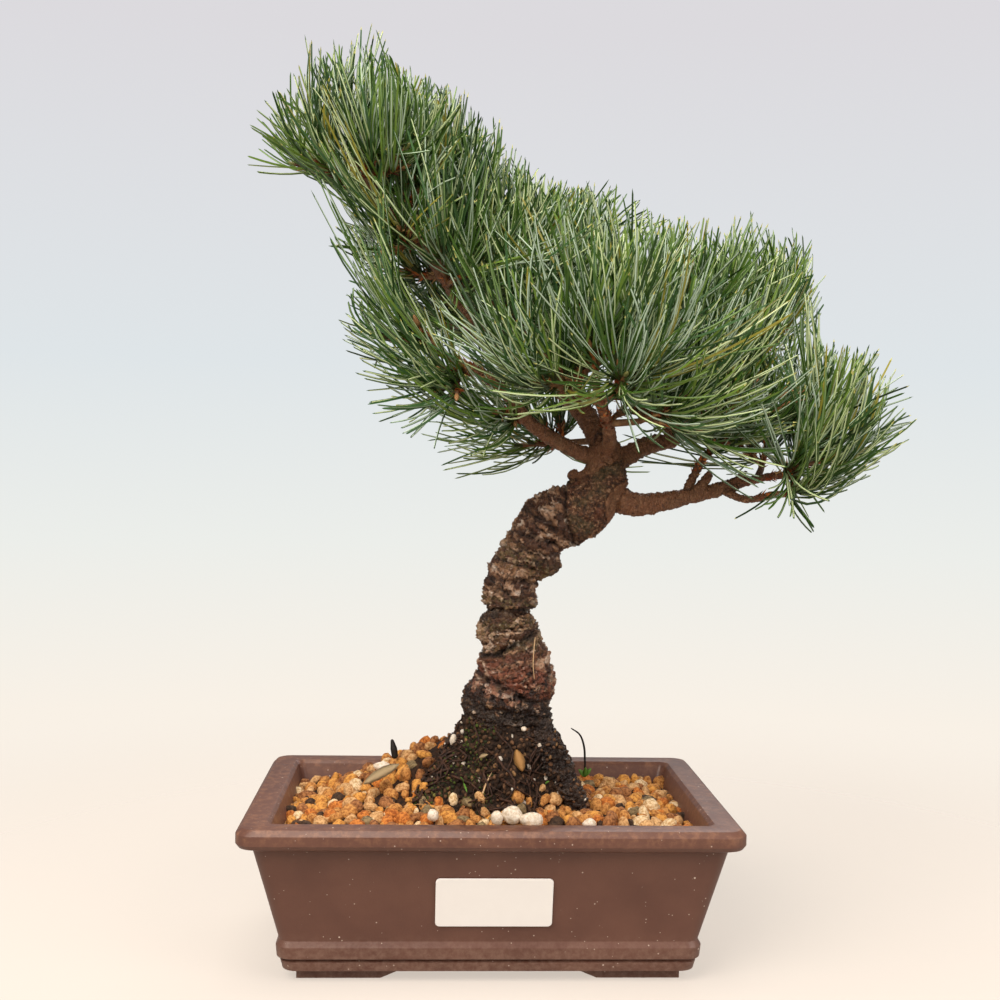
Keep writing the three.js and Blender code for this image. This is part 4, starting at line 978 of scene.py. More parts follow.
def bark_relief(points, names):
    """How far the bark stands out at each point, and what the bark's material reads there."""
    owner, along, radius, axis, out = nearest_on_limbs(points, names)
    out_unit = unit(out + 1e-9)
    on_trunk = owner == 0
    # Rolls and grooves of the trunk, read by how far right a point lies.
    right = np.clip(out_unit[:, 0] * axis[:, 2] - out_unit[:, 2] * axis[:, 0], -1, 1)
    places, lefts, rights = zip(*BARK_ROLLS)
    roll = np.where(right < 0, np.interp(along, places, lefts), np.interp(along, places, rights))
    coarse, rough = field(points + 50, BARK_NOISE["coarse"], 3), field(points, BARK_NOISE["rough"], 4)
    wander = field(points, BARK_NOISE["wander"], 3) * WANDER
    broken = smoothstep(-0.45, 0.35, field(points + 9, BARK_NOISE["broken"], 2))
    groove, crease = np.zeros(len(points)), np.zeros(len(points))
    for place, depth, half, climb in BARK_GROOVES:
        gap = along - place - climb * right - wander
        groove = np.maximum(groove, depth * np.exp(-(gap / half) ** 2))
        crease = np.maximum(crease, min(depth, 1.5) * np.exp(-(gap / CREASE["half"]) ** 2))
    crease *= broken
    # Painted shade along the deep grooves, laid into the bark's dark cracks.
    groove_shade = smoothstep(0.35, 1.6, groove) * (0.55 + 0.35 * broken) * on_trunk
    groove = groove * (1 - right ** 2) - roll * right ** 2
    # Old bark up to its ragged border, young bark past it.
    border = YOUNG_BARK["place"] - YOUNG_BARK["climb"] * right + wander * 0.6
    old = np.where(on_trunk, 1 - smoothstep(0, YOUNG_BARK["soft"], along - border), 0.0)
    height, shade, tilt = scale_field(points, along, out_unit)
    scale = smoothstep(0.0, 0.14, height)
    streaks = field(np.column_stack([points[:, :2] * 0.6, along * 2.2]), BARK_NOISE["streaks"], 3)
    split = 1 - smoothstep(0.0, 0.12, np.abs(streaks))
    old_relief = SCALES["height"] * (scale - 0.8) + SCALES["tilt"] * tilt * scale + 0.45 * rough + coarse
    old_relief += YOUNG_BARK["step"] * 0.5 + (shade - 0.5) * 0.5 - 0.5 * split - CREASE["depth"] * crease
    young_relief = (0.08 * coarse + np.where(on_trunk, 0.07, 0.15) * rough) * radius
    young_relief += 0.16 * np.sin(along * 2.1 + coarse * 6)
    # The seam is a groove in the relief; its dark share below is painted shade.
    seam = np.exp(-((along - border) / SEAM["half"]) ** 2) * on_trunk
    thicker = np.array([THICKER.get(name, 0) for name in names])[owner]
    relief = np.where(on_trunk, -groove, thicker)
    relief = relief + (old * old_relief + (1 - old) * young_relief) - seam * SEAM["depth"]
    # Cracks between scales, splits and creases are dark: partly their own colour, partly painted shade.
    crack = old * np.clip((1 - scale) * 0.75 + split * 0.35 + smoothstep(0.35, 1.2, crease) * 0.9, 0, 1)
    green = along - wander
    mossy = np.max([np.exp(-((green - place) / reach) ** 2) for place, reach in MOSS_PLACES], axis=0)
    return relief, {
        # Dark cracks, with painted shade at the seam and in the deep grooves.
        "crack": np.maximum(np.maximum(crack, seam * SEAM["dark"]), groove_shade),
        "plate": shade, "age": old, "along": along, "bough": ~on_trunk,
        "rust": np.exp(-((along - RUST_ZONE[0]) / RUST_ZONE[1]) ** 2) * on_trunk,
        "soil": np.where(on_trunk, 1 - smoothstep(*SOIL_LINE, along + wander * 2), 0),
        "moss": np.where(on_trunk, mossy, 0),
    }


def make_wood(name, bodies, voxel, names, material):
    """Limbs grown together into one skin, with the bark's relief and what its material reads."""
    skin = join_piece(name, bodies, [material])
    remesh = skin.modifiers.new("grow together", "REMESH")
    remesh.mode = "VOXEL"
    remesh.voxel_size = voxel * MM
    remesh.use_smooth_shade = True
    even_out = skin.modifiers.new("even out", "SMOOTH")
    even_out.factor = EVEN_OUT["factor"]
    even_out.iterations = EVEN_OUT["times"]
    bake_modifiers(skin)
    places = places_of(skin)
    relief, facts = bark_relief(places, names)
    skin.data.vertices.foreach_set("co", in_frame(places + read_vertices(skin, "normal") * relief[:, None]))
    skin.data.update()
    for fact, values in facts.items():
        attribute = skin.data.attributes.new(fact, "FLOAT", "POINT")
        attribute.data.foreach_set("value", np.asarray(values, np.float32))
    return skin


def limb_body(limb, sides, start=0.0, stop=math.inf):
    """A limb's tube between two distances along it, with rounded ends."""
    line, radii, along = limb.fine_line()
    kept = (along >= start) & (along <= stop)
    line, radii, along = line[kept], radii[kept], along[kept]
    for end in (along[0], along[-1]):
        near = np.abs(along - end) / radii
        radii = radii * np.where(near < 0.5, np.sqrt(np.clip(1 - (1 - near / 0.5) ** 2 * 0.75, 0, 1)), 1)
    return tube(line, radii, sides)


def knob_body(place, side, size):
    """A dead stub that stands out of the trunk to its left or right."""
    line, radii, along = limbs["trunk"].fine_line()
    index = int(np.argmin(np.abs(along - place)))
    axis = unit(line[index + 1] - line[index - 1])
    out = unit(np.cross((0, 1, 0), axis)) * side + np.array([0, -math.sqrt(max(1 - side * side, 0)), 0])
    reach = np.array([0, radii[index] - 1, radii[index] + size * 0.5, radii[index] + size])
    return tube(line[index] + np.outer(reach, out), [size, size, size * 0.9, size * 0.4], SIDES["knob"])


def make_trunk_and_boughs(material):
    split, overlap = PARTING["place"], PARTING["overlap"]
    lower = [limb_body(limbs["trunk"], SIDES["trunk"], PARTING["foot"], split + overlap)]
    lower += [limb_body(Limb(root), SIDES["bough"]) for root in ROOTS]
    lower += [knob_body(*knob) for knob in KNOBS if knob[0] < split]
    upper = [limb_body(limbs["trunk"], SIDES["trunk"], split - overlap)]
    upper += [knob_body(*knob) for knob in KNOBS if knob[0] > split]
    upper += [limb_body(limbs[name], SIDES["bough"]) for name in BOUGHS]
    upper += [limb_body(Limb(spur), SIDES["spur"]) for spur in SPURS]
    skin = make_wood("bough_bark", upper, VOXELS["upper"], list(limbs), material)
    finish_piece(skin, "young_bark", *BOUGHS)
    foot = make_wood("trunk_bark", lower, VOXELS["lower"], ["trunk"], material)
    return finish_piece(foot, "old_bark", "trunk")


# Growth


class Mass:
    """One mass of needles: a stem that leaves its limb, and the shoots at the stem's end."""

    def __init__(self, name, index):
        limb_name, at, tip, self.shoot_count = MASSES[name]
        self.name = name
        self.dice = Dice(SEED * 1000 + index)
        self.root = limbs[limb_name].point(at)
        self.tip = np.array(tip, float)
        sag = STEM["arch"] * np.linalg.norm(self.tip - self.root)
        self.bend = self.root + (self.tip - self.root) * STEM["bend_at"] - UP * sag
        self.shoots = [(self.bend, self.tip)]

    def distance(self, points):
        """Distance from each point to the nearest of the mass's stem and shoots."""
        starts, ends = (np.array(places) for places in zip((self.root, self.bend), *self.shoots))
        points = np.atleast_2d(points)[:, None]
        span = (ends - starts)[None]
        share = np.sum((points - starts[None]) * span, axis=2) / np.sum(span * span, axis=2)
        nearest = starts[None] + np.clip(share, 0, 1)[..., None] * span
        return np.linalg.norm(points - nearest, axis=2).min(axis=1)

    def owns(self, points, others):
        own = self.distance(points) + SHOOT["margin"]
        return all(np.all(other.distance(points) > own) for other in others)

    def grow_shoots(self, others):
        """Side shoots leave the stem turned by the golden angle, each kept to the mass's own space."""
        axis = unit(self.tip - self.bend)
        side = unit(np.cross(axis, UP))
        across = np.cross(axis, side)
        turn = self.dice.roll() * FULL_TURN
        for index in range(1, self.shoot_count * 4):
            if len(self.shoots) >= self.shoot_count:
                break
            start = self.bend + (self.tip - self.bend) * SHOOT["spread"] * ((index * GOLDEN_SHARE) % 1)
            away = turned(side, across, turn + index * GOLDEN_ANGLE)
            end = start + unit(turned(axis, away, SHOOT["tilt"]) + UP * SHOOT["lift"]) * SHOOT["length"]
            outer = np.array([start + (end - start) * SHOOT["outer"], end])
            if self.owns(outer, others) and np.all(limb_clearance(outer) > SHOOT["margin"]):
                self.shoots.append((start, end))


class Tuft:
    """The end of a shoot that bears needles, in bundles of five that open out from base to tip."""

    def __init__(self, start, end, needled, bundles):
        self.axis = unit(end - start)
        self.start, self.end = start, end
        self.base = end - self.axis * min(needled, np.linalg.norm(end - start) * 0.75)
        self.bundles = bundles


def tufts_of(mass, random):
    """Each shoot's own tuft, and the finer side shoot that the solids leave out."""
    tufts = []
    for start, end in mass.shoots:
        tufts.append(Tuft(start, end, SHOOT["needled"], BUNDLE["on_shoot"]))
        axis = tufts[-1].axis
        away = turned(*spray_axes(axis), random.uniform(0, FULL_TURN))
        fork = end - axis * SHOOT["needled"] * SIDE_SHOOT["back"]
        tilt = SIDE_SHOOT["tilt"] * random.uniform(0.85, 1.15)
        along = unit(turned(axis, away, tilt) + UP * SIDE_SHOOT["lift"])
        tip = fork + along * SIDE_SHOOT["length"] * random.uniform(0.8, 1.15)
        if limb_clearance(tip)[0] > SIDE_SHOOT["clear"]:
            tufts.append(Tuft(fork, tip, SIDE_SHOOT["needled"], BUNDLE["on_side_shoot"]))
    return tufts


def needle_rows(mass, tufts, random):
    """For every needle: root, direction, bend, outer side, length and its bundle's number."""
    rows = []
    bundle_number = 0
    lowest, drop, share = HABIT.get(mass.name, PLAIN_HABIT)
    stream = STREAM.get(mass.name, (0, 0, 0))
    usual_length = NEEDLE["length"] * SHORTER.get(mass.name, 1)
    for tuft in tufts:
        side, across = spray_axes(tuft.axis)
        turn = random.uniform(0, FULL_TURN)
        count = round(tuft.bundles * share)
        for index in range(count):
            place = (index + 0.5) / count
            away = turned(side, across, turn + index * GOLDEN_ANGLE + random.uniform(*VARY["turn"]))
            open_angle = np.interp(place, (0, 1), (BUNDLE["base_angle"], BUNDLE["tip_angle"]))
            aim = turned(tuft.axis, away, open_angle + random.uniform(*VARY["open"]))
            aim = unit(aim + UP * (NEEDLE["lift"] - drop * random.uniform(*VARY["drop"])) + stream)
            if aim[2] < lowest:
                aim = unit([aim[0], aim[1], lowest + (aim[2] - lowest) * 0.3])
            root = tuft.base + (tuft.end - tuft.base) * place + away * 0.5
            length = usual_length * (1 + NEEDLE["spread"] * random.uniform(*VARY["length"]))
            bend = (UP - aim * aim[2]) * NEEDLE["sweep_up"] * random.uniform(*VARY["sweep_up"])
            inward = tuft.axis - aim * (tuft.axis @ aim)
            inward = inward * NEEDLE["sweep_in"] * random.uniform(*VARY["sweep_in"])
            bend += inward + random.normal(0, NEEDLE["bow"], 3)
            left, right = spray_axes(aim)
            bundle_turn = random.uniform(0, FULL_TURN)
            bundle_number += 1
            for member in range(BUNDLE["needles"]):
                outer = turned(left, right, bundle_turn + member * FULL_TURN / BUNDLE["needles"])
                own_aim = unit(aim + outer * (BUNDLE["splay"] * random.uniform(*VARY["splay"])))
                own_bend = bend + random.normal(0, NEEDLE["bow"] * 0.5, 3)
                own_length = length * random.uniform(*VARY["own_length"])
                rows.append((root + outer * 0.3, own_aim, own_bend, outer, own_length, bundle_number))
    return rows


def inside_crown(points):
    """Whether points keep within the crown's depth and, as the camera sees them, its outline."""
    eye = np.array(CAMERA["place"])
    away = points - eye
    seen = eye + away * (-eye[1] / away[:, 1])[:, None]
    inside = np.zeros(len(points), bool)
    for start, end in zip(CROWN_OUTLINE, np.roll(CROWN_OUTLINE, -1, axis=0)):
        spans = (start[1] > seen[:, 2]) != (end[1] > seen[:, 2])
        rise_over = (end[1] - start[1]) or 1e-9
        crossing = start[0] + (end[0] - start[0]) * (seen[:, 2] - start[1]) / rise_over
        inside ^= spans & (seen[:, 0] < crossing)
    front, back = (corner[1] / MM - POT_MIDDLE[1] for corner in CAD_BOX)
    return inside & (points[:, 1] > front) & (points[:, 1] < back)


class Needles:
    """The needles of a mass, as arrays with a row for each."""

    def __init__(self, rows):
        self.root, self.aim, self.bend, self.outer, self.length, self.bundle = map(np.array, zip(*rows))

    def points(self, place, length=None):
        """Where the needles are at a share of their length."""
        length = (self.length if length is None else length)[:, None]
        return self.root + length * (self.aim * place + self.bend * place ** 2 * 0.5)

    def keep_to_crown(self, random):
        """Shortens needles that would leave the crown, and drops those that still do or that hit a limb."""
        share = np.zeros(len(self.root))
        slack = 1 / random.uniform(*VARY["edge"], self.bundle.max() + 1)[self.bundle]
        for trial in np.linspace(NEEDLE["shortest"], 1, 6):
            share = np.where(inside_crown(self.points(1, self.length * trial * slack)), trial, share)
        clear = share > 0
        self.length = self.length * share
        for place in (0.3, 0.55, 0.8, 1):
            clear &= limb_clearance(self.points(place)) > NEEDLE["limb_gap"]
        for part, values in vars(self).items():
            setattr(self, part, values[clear])

    def shape(self):
        """Five-sided needles as points, quads and tip triangles."""
        rings = []
        for place, width in NEEDLE_RINGS:
            middle = self.points(place)
            tangent = unit(self.aim + self.bend * place)
            out = unit(self.outer - tangent * np.sum(self.outer * tangent, axis=1, keepdims=True))
            across = np.cross(tangent, out) * NEEDLE["width"] * width / 2
            out = out * NEEDLE["thickness"] * width / 2
            corners = [middle + across * over + out * high for over, high in NEEDLE_PROFILE]
            rings.append(np.stack(corners, axis=1))
        points = np.concatenate([*rings, self.points(1)[:, None]], axis=1)
        count, per_needle, sides = len(points), points.shape[1], len(NEEDLE_PROFILE)
        first = np.arange(count)[:, None, None] * per_needle
        last = (len(NEEDLE_RINGS) - 1) * sides
        tips = [[last + side, last + (side + 1) % sides, per_needle - 1] for side in range(sides)]
        tips = np.array(tips)[None] + first
        quads = ring_faces(len(NEEDLE_RINGS), sides)[None] + first
        return points.reshape(-1, 3), quads.reshape(-1, 4), tips.reshape(-1, 3)

    def colour_slots(self, dead_share, last_slot, random):
        """A material number for each face: outer, inner and tip chosen for a bundle, and dark feet, partly
        painted shade.
        """
        count = self.bundle.max() + 1
        odd = len(NEEDLE_OUTER) + len(NEEDLE_INNER)
        outer = random.choice(len(NEEDLE_OUTER), count, p=[row[1] for row in NEEDLE_OUTER.values()])
        inner = random.choice(len(NEEDLE_INNER), count, p=[row[1] for row in NEEDLE_INNER.values()])
        yellow = random.random(count) < YELLOW_TIPS
        dead = random.random(count) < dead_share
        outer = np.where(dead, odd + 1, outer)[self.bundle]
        inner = np.where(dead, odd + 1, inner + len(NEEDLE_OUTER))[self.bundle]
        band = np.stack([outer, outer, inner, inner, outer], axis=1)
        # Painted shade on every needle's first band, where the needles crowd at the tuft.
        foot = np.full_like(band, last_slot)
        sides = np.concatenate([foot, np.tile(band, (1, len(NEEDLE_RINGS) - 2))], axis=1)
        tips = np.where(yellow[self.bundle], odd, outer)
        return np.concatenate([sides.ravel(), np.repeat(tips, len(NEEDLE_PROFILE))])


def make_needles(mass, tufts, materials, random):
    needles = Needles(needle_rows(mass, tufts, random))
    needles.keep_to_crown(random)
    slots = needles.colour_slots(DEAD_SHARE.get(mass.name, 0), len(materials) - 1, random)
    piece = join_piece(f"needles_{mass.name}_fine", [needles.shape()], materials, slots)
    piece.data.set_sharp_from_angle(angle=math.radians(NEEDLE["sharp_over"]))
    finish_piece(piece, "needles", f"needles_{mass.name}")


def twig_shape(start, end, radii, sag=0.0):
    shares = np.linspace(0, 1, 7)
    line = start + np.outer(shares, end - start) - np.outer(np.sin(shares * math.pi) * sag, UP)
    return tube(line, np.interp(shares, (0, 1), radii), 7)


def make_twigs(masses, tufts, material):
    """Stems, shoots and side shoots of every mass, joined."""
    shapes = []
    for mass in masses:
        shapes.append(twig_shape(mass.root, mass.bend, TWIG_RADII["stem"]))
        shapes += [twig_shape(*shoot, TWIG_RADII["shoot"], 0.3) for shoot in mass.shoots]
    shapes += [twig_shape(tuft.start, tuft.end, TWIG_RADII["side"]) for tuft in tufts]
    finish_piece(join_piece("twigs", shapes, [material]), "young_bark")


def make_buds(tufts, materials, random):
    """A pointed resting bud on each shoot's tip."""
    shapes = []
    for tuft in tufts:
        length = random.uniform(BUD["smallest"], BUD["full"])
        line = tuft.end + np.outer([place * length - BUD["seat"] for place, _ in BUD_PROFILE], tuft.axis)
        radii = [radius * length / BUD["full"] + BUD["skin"] for _, radius in BUD_PROFILE]
        shapes.append(tube(line, radii, BUD["sides"]))
    slots = random.integers(0, len(materials), len(tufts))
    quads, ends = (len(BUD_PROFILE) - 1) * BUD["sides"], 2 * BUD["sides"]
    slots = np.concatenate([np.repeat(slots, quads), np.repeat(slots, ends)])
    finish_piece(join_piece("resting_buds", shapes, materials, slots), "young_bark")


def bud_scale_seats(tufts, random):
    """Where papery scales sit, on shoots and the ends of limbs: place, axis, radius and share of size."""
    seats = []
    for tuft in tufts:
        for _ in range(BUD_SCALE["count"]):
            seats.append((tuft.start + (tuft.end - tuft.start) * random.uniform(0, 0.8), tuft.axis, 0.4, 1))
    for name, first_share in SCALY_ENDS.items():
        line = [limbs[name].point(share) for share in np.linspace(first_share, 1, 12)]
        radius = limbs[name].radius(1 - 0.5 * (1 - first_share))
        for start, end in zip(line, line[1:]):
            gap = np.linalg.norm(end - start)
            for _ in range(round(gap * radius * 2 * math.pi * BUD_SCALE["on_limb"] / 4)):
                seats.append((start + (end - start) * random.random(), (end - start) / gap, radius, 0.6))
    return seats


def make_bud_scales(tufts, materials, random):
    """Papery scales left round the shoots and round the ends of the limbs, each a thin closed flake."""
    points, slots = [], []
    for index, (place, axis, radius, share) in enumerate(bud_scale_seats(tufts, random)):
        away = turned(*spray_axes(axis), index * GOLDEN_ANGLE + random.uniform(-0.3, 0.3))
        half = np.cross(axis, away) * (BUD_SCALE["width"] / 2)
        out = unit(axis + away * random.uniform(0.2, 1.3))
        length = BUD_SCALE["length"] * share * random.uniform(0.5, 1.3)
        root = place + away * radius * 0.9
        points += [root - half, root + half, root + away * 0.35, root + out * length]
        slots += [random.integers(0, len(materials))] * 4
    flake = np.array([[0, 2, 1], [0, 1, 3], [1, 2, 3], [2, 0, 3]])
    faces = (np.arange(0, len(points), 4)[:, None, None] + flake).reshape(-1, 3)
    finish_piece(make_piece("bud_scales", points, [faces], materials, slots, False), "young_bark")


def make_crown(random):
    """Every mass with its needles, then the twigs, buds and papery scales of all of them."""
    masses = [Mass(name, index) for index, name in enumerate(MASSES)]
    for mass in masses:
        mass.grow_shoots([other for other in masses if other is not mass])
    materials = needle_materials()
    tufts = []
    for mass in masses:
        own_tufts = tufts_of(mass, random)
        make_needles(mass, own_tufts, materials, random)
        tufts += own_tufts
    make_twigs(masses, tufts, twig_bark())
    make_buds(tufts, plain_materials("bud", BUD_COLOURS, 0.55), random)
    make_bud_scales(tufts, plain_materials("bud_scale", SCALE_COLOURS, 0.7), random)


# Soil


def bed_height(x, y):
    """Height of the gravel over a point of the pot's plan."""
    edge_x = 1 - np.abs(x) / (POT["width"] / 2 - BED["inset"])
    edge_y = 1 - np.abs(y) / (POT["depth"] / 2 - BED["inset"])
    inward = np.clip(np.minimum(edge_x, edge_y) * BED["slope"], 0, 1)
    heap = np.exp(-(((x - BED["x"]) / BED["spread_x"]) ** 2 + ((y - BED["y"]) / BED["spread_y"]) ** 2) / 2)
    return BED["edge"] + (BED["crown"] + BED["heap"] * heap) * inward


def make_bed(material):
    """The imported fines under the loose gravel, as a closed block with a smooth top."""
    inset = wall_inset(BED["edge"] - FINES["side"], INNER_LOW, INNER_HIGH) + FINES["gap"]
    plan = pot_ring(BED["edge"] - FINES["bottom"], inset, 4, 23)
    rings = [plan]
    for share in np.linspace(1, FINES["inmost"], FINES["rings"]):
        x, y = plan[:, 0] * share + BED["x"] * (1 - share), plan[:, 1] * share + BED["y"] * (1 - share)
        rings.append(np.column_stack([x, y, bed_height(x, y) - FINES["below"]]))
    return join_piece("gravel_fines", [closed_loft(rings)], [material])


def on_mound(angles, levels):
    """Places on the root mound's uneven skin, by angle round it and height, and the way out from it."""
    heights, radii = zip(*MOUND_PROFILE)
    above = levels - MOUND["middle"]
    low = 1 - smoothstep(*MOUND["ridges_fade"], levels)
    ridge = np.cos(angles * MOUND["roots"] + MOUND["root_turn"] + above * 0.012)
    reach = np.interp(levels, heights, radii) * (1 + MOUND["root_depth"] * (0.35 + 0.65 * low) * ridge)
    points = np.column_stack([
        MOUND["x"] + above * MOUND["lean"] + reach * np.cos(angles),
        MOUND["y"] + reach * MOUND["depth"] * np.sin(angles), levels,
    ])
    away = points[:, :2] - (MOUND["x"], MOUND["y"])
    out = unit(np.column_stack([away, np.full(len(points), MOUND["steepness"])]))
    lumps = sum(field(points, size, 3) * height for size, height in MOUND["lumps"])
    return points + out * lumps[:, None], out


def make_mound(material):
    """The root mound: dark crumbly soil packed over root ridges, flaring from the trunk into the gravel."""
    sides, levels = 180, 84
    heights = np.linspace(MOUND_PROFILE[0][0], MOUND_PROFILE[-1][0], levels)
    points = on_mound(np.tile(angles_round(sides), levels), np.repeat(heights, sides))[0]
    return join_piece("soil_mound", [closed_loft(np.split(points, levels))], [material])


def make_root_fibres(material, random):
    """Thin roots and fibres that run down over the mound's crumbs."""
    shares = np.linspace(0, 1, 8)
    shapes = []
    for _ in range(FIBRES["count"]):
        start, drift = random.uniform(0, FULL_TURN), random.uniform(-0.7, 0.7)
        top, drop = random.uniform(*FIBRES["heights"]), random.uniform(*FIBRES["drops"])
        wave = 0.12 * np.sin(shares * random.uniform(4, 9) + start)
        line, out = on_mound(start + drift * shares + wave, top - drop * shares)
        line += out * (FIBRES["stand_off"] * np.sin(shares * math.pi) ** 0.5 + 0.2)[:, None]
        shapes.append(tube(line, random.uniform(*FIBRES["radii"]) * (1 - 0.6 * shares), 6))
    finish_piece(join_piece("root_fibres", shapes, [material]), "soil")


def scatter_tree(name, materials, shares, corners):
    """Grains strewn over a surface, each of its own size, turn and shape, in colours dealt out by grain."""
    tree = bpy.data.node_groups.new(name, "GeometryNodeTree")
    for label in ("Geometry", *SCATTER_SIZES, "Seed"):
        kind = {"Geometry": "Geometry", "Seed": "Int"}.get(label, "Float")
        tree.interface.new_socket(label, in_out="INPUT", socket_type=f"NodeSocket{kind}")
    tree.interface.new_socket("Geometry", in_out="OUTPUT", socket_type="NodeSocketGeometry")
    add = partial(add_node, tree)
    given = add("given").node.outputs
    seed, other_seed = given["Seed"], add("sum", given["Seed"], 7)
    position = add("position")
    ball = add("scaled", add("unit", position), 0.5)
    grain = add("put", add("block", (1, 1, 1), corners, corners, corners), ball)
    strewn = add("strewn", given["Geometry"], given["Spacing"], MORE_THAN_FIT, seed)
    turn = add("random_vector", (0, 0, 0), (FULL_TURN,) * 3, seed)
    shape = add("random_vector", *GRAIN_SHAPES, other_seed)
    size = add("random_number", given["Smallest"], given["Largest"], seed)
    geometry = add("grains", strewn, grain, turn, add("scaled", shape, size))
    geometry = add("noted", geometry, "deal", add("random_number", 0, 1, other_seed))
    lumps = add("vector_difference", add("noise_vector", position, per_mm(2.8), 2), (0.5, 0.5, 0.5))
    geometry = add("moved", add("real", geometry), add("scaled", lumps, given["Unevenness"]))
    geometry = add("smooth", geometry)
    dealt = add("read", "deal")
    limits = np.concatenate([[0], np.cumsum(shares)[:-1]]) / np.sum(shares)
    for limit, material in zip(limits, materials):
        geometry = add("coloured", geometry, add("at_least", dealt, float(limit)), material)
    add("result", geometry)
    return tree


def patch_of(piece, name, chosen):
    """A copy of the part of a piece whose faces are chosen, by the middle of each face in millimetres."""
    places = places_of(piece)
    faces = [np.array(face.vertices) for face in piece.data.polygons]
    kept = [face for face in faces if len(face) == 4 and chosen(places[face].mean(axis=0))]
    return make_piece(name, places, [np.array(kept)])


def strew(name, ground, chosen=None):
    """Runs a scatter over the ground, or its chosen part, and keeps the result as a plain mesh."""
    colours, corners, slot, *sizes, added_seed = STREWN[name]
    patch = patch_of(ground, f"{name}_ground", chosen) if chosen else None
    materials = [grain_material(f"{name}_{label}", *row[:2]) for label, row in colours.items()]
    tree = scatter_tree(f"strewn_{name}", materials, [row[2] for row in colours.values()], corners)
    values = {label: size * MM for label, size in zip(SCATTER_SIZES, sizes)}
    values["Seed"] = SEED + added_seed
    piece = bpy.data.objects.new(name, (patch or ground).data.copy())
    bpy.context.scene.collection.objects.link(piece)
    modifier = piece.modifiers.new("strewn", "NODES")
    modifier.node_group = tree
    for item in tree.interface.items_tree:
        if item.in_out == "INPUT" and item.name in values:
            modifier[item.identifier] = values[item.name]
    bake_modifiers(piece)
    if patch:
        bpy.data.objects.remove(patch)
    return finish_piece(piece, slot)


def pebble_shape(place, size):
    """A rounded, slightly uneven pebble."""
    angles = angles_round(16)
    rings = []
    for slope in np.linspace(-1.35, 1.35, 9):
        reach = math.cos(slope)
        level = np.full(len(angles), math.sin(slope))
        ring = np.column_stack([np.cos(angles) * reach, np.sin(angles) * reach, level])
        ring *= 1 + 0.2 * field(ring + np.array(place), 1.1, 2)[:, None]
        rings.append(np.array(place) + ring * np.array(size) / 2)
    return closed_loft(rings)


def leaf_shape(foot, tip, width, bow, facing):
    """A thin leaf that bows out between its ends."""
    foot, tip = np.array(foot, float), np.array(tip, float)
    ahead = unit(tip - foot)
    over = unit(np.cross(ahead, facing))
    up = np.cross(over, ahead)
    thick = up * LEAF_THICKNESS
    rings = []
    for share, breadth in LEAF_SHAPE:
        middle = foot + (tip - foot) * share + up * bow * math.sin(share * math.pi)
        half = over * width * breadth / 2
        rings.append(np.array([middle + half, middle + thick, middle - half, middle - thick]))
    return closed_loft(rings)


def make_litter():
    """Pale pebbles among the grains, and the dead stem, bits and small green shoots on the soil."""
    stone = grain_material("pale_pebble", "#F0E4D2", "#CDB89C", 0.8, 1.4)
    finish_piece(join_piece("pale_pebbles", [pebble_shape(*row) for row in PEBBLES], [stone]), "gravel")
    for kind, colour in LITTER_COLOURS.items():
        shapes = [limb_body(Limb(row), SIDES["litter"]) for row in LITTER_STEMS.get(kind, [])]
        shapes += [leaf_shape(*row) for row in LITTER_LEAVES.get(kind, [])]
        material = grain_material(f"{kind}_litter", colour, colour, 0.6, 2)
        finish_piece(join_piece(f"litter_{kind}", shapes, [material]), "soil")


def make_soil(foot):
    """Fines and two sizes of gravel in the pot, and the mound and the trunk's foot with what lies on them."""
    def drift(at, size):
        return noise.noise(Vector(at) / size)

    # The fines are dark soil and also painted shade in the gaps between the grains.
    bed = make_bed(grain_material("clay_fines", "#3C2412", "#180E08"))
    strew("gravel_grains", bed)
    strew("gravel_chips", bed)
    finish_piece(bed, "gravel", "gravel_bed")
    mound = make_mound(grain_material("peaty_soil", "#3A291D", "#150D08", 0.95, 1.6))
    strew("soil_crumbs", mound)
    strew("moss", mound, lambda at: at[2] > 58 and at[0] < 2 and drift(at, 9) > -0.05)
    strew("gravel_spill", mound, lambda at: 57 < at[2] < 64 + 7 * drift(at, 8) and at[1] < 8)
    root_skin = grain_material("root_skin", "#4A2F20", "#1E120B", 0.6, 1.5)
    make_root_fibres(root_skin, np.random.default_rng(SEED + 4))
    finish_piece(mound, "soil", "root_mound")
    strew("foot_crumbs", foot, lambda at: at[2] < 86 + 9 * drift(at, 7))
    make_litter()


# Floor, light and camera


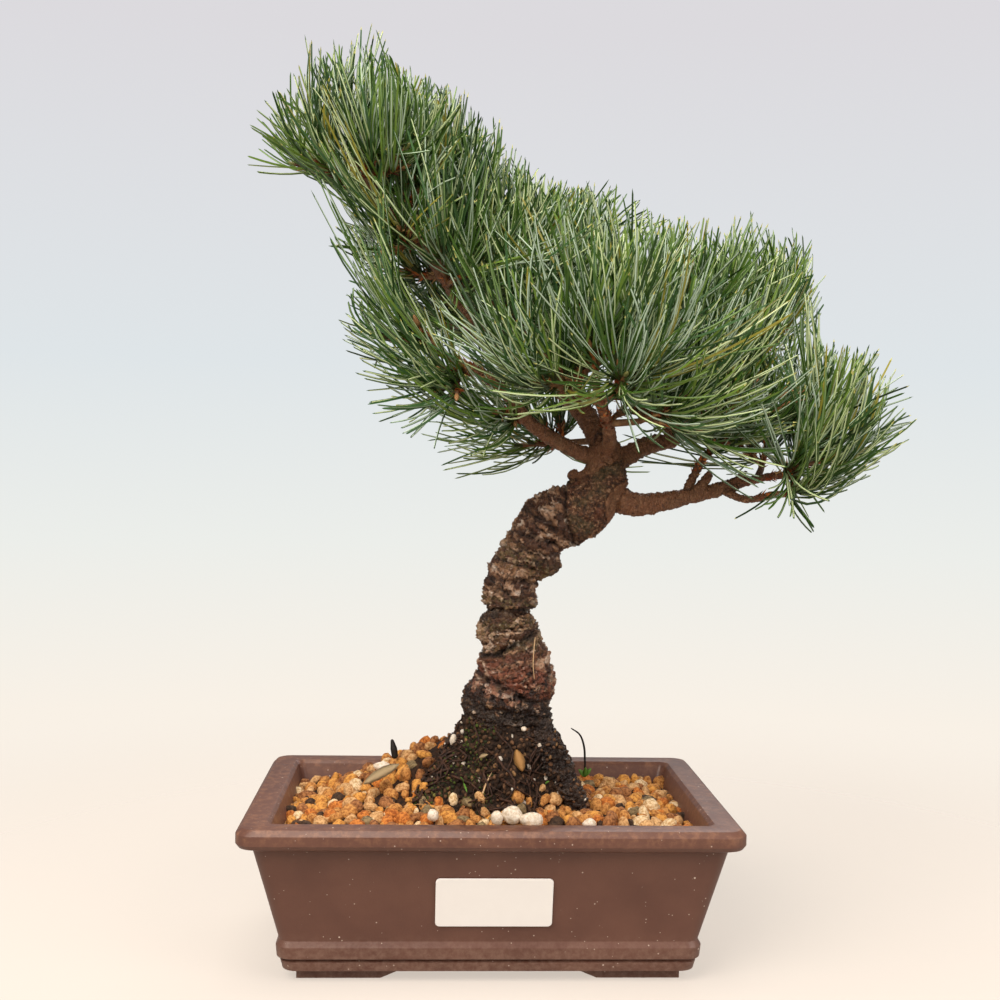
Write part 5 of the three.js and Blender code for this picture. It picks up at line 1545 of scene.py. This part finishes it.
def make_floor():
    """A plain pale floor that fades out into the background."""
    material, shader, add = new_material("pale_floor", "#E6DBD0", 0.9, Specular_IOR_Level=0.1)
    fade = add("rise", add("distance", add("place")), *FLOOR["fade"], *FLOOR["clear"])
    mixed = add("mixed_shader", fade, shader.outputs[0], add("transparent"))
    set_inputs(material.node_tree.nodes["Material Output"], {"Surface": mixed})
    angles, sides = angles_round(FLOOR["sides"]), np.arange(FLOOR["sides"])
    ring = np.column_stack([np.cos(angles), np.sin(angles), np.zeros(len(angles))]) * FLOOR["radius"]
    points = np.vstack([ring, [[0, 0, 0]]]) + UP * FLOOR["height"]
    triangles = np.stack([np.full(len(sides), len(sides)), sides, (sides + 1) % len(sides)], -1)
    make_piece("floor", points, [triangles], [material])


def make_world():
    """A bright even backdrop, cream low down and bluish higher up, that lights the tree more softly."""
    world = bpy.data.worlds.new("studio")
    bpy.context.scene.world = world
    world.use_nodes = True
    add = partial(add_node, world.node_tree)
    backdrop = add("ramp", add("range", add("height", add("direction")), -0.36, 0.34), stops=BACKDROP)
    strength = add("range", add("camera_ray"), 0, 1, WORLD_LIGHT, 1)
    set_inputs(world.node_tree.nodes["Background"], {"Color": backdrop, "Strength": strength})


def make_lights():
    for name, (place, size, power, colour) in LIGHTS.items():
        light = bpy.data.lights.new(name, "AREA")
        light.shape = "DISK"
        light.size = size
        light.energy = power
        light.color = linear(colour)
        lamp = bpy.data.objects.new(name, light)
        lamp.location = place
        lamp.rotation_euler = (Vector(LIGHT_TARGET) - Vector(place)).to_track_quat("-Z", "Y").to_euler()
        bpy.context.scene.collection.objects.link(lamp)


def make_camera():
    data = bpy.data.cameras.new("photo_camera")
    data.sensor_fit = "HORIZONTAL"
    data.sensor_width = SENSOR
    data.lens = CAMERA["focal_px"] / PHOTO_WIDTH * SENSOR
    data.clip_start = 0.01
    camera = bpy.data.objects.new("photo_camera", data)
    yaw, pitch, roll = (math.radians(CAMERA[angle]) for angle in ("yaw", "pitch", "roll"))
    forward = Vector((math.sin(yaw) * math.cos(pitch), math.cos(yaw) * math.cos(pitch), math.sin(pitch)))
    camera.rotation_mode = "QUATERNION"
    camera.rotation_quaternion = forward.to_track_quat("-Z", "Y") @ Quaternion((0, 0, 1), roll)
    camera.location = (np.array(CAMERA["place"]) + POT_MIDDLE) * MM
    bpy.context.scene.collection.objects.link(camera)
    bpy.context.scene.camera = camera


# Everything together

bpy.context.scene.view_settings.view_transform = "Standard"
make_camera()
make_world()
make_lights()
make_floor()

make_pot(stoneware())
make_label(coated_label())
make_soil(make_trunk_and_boughs(pine_bark()))
make_crown(np.random.default_rng(SEED))
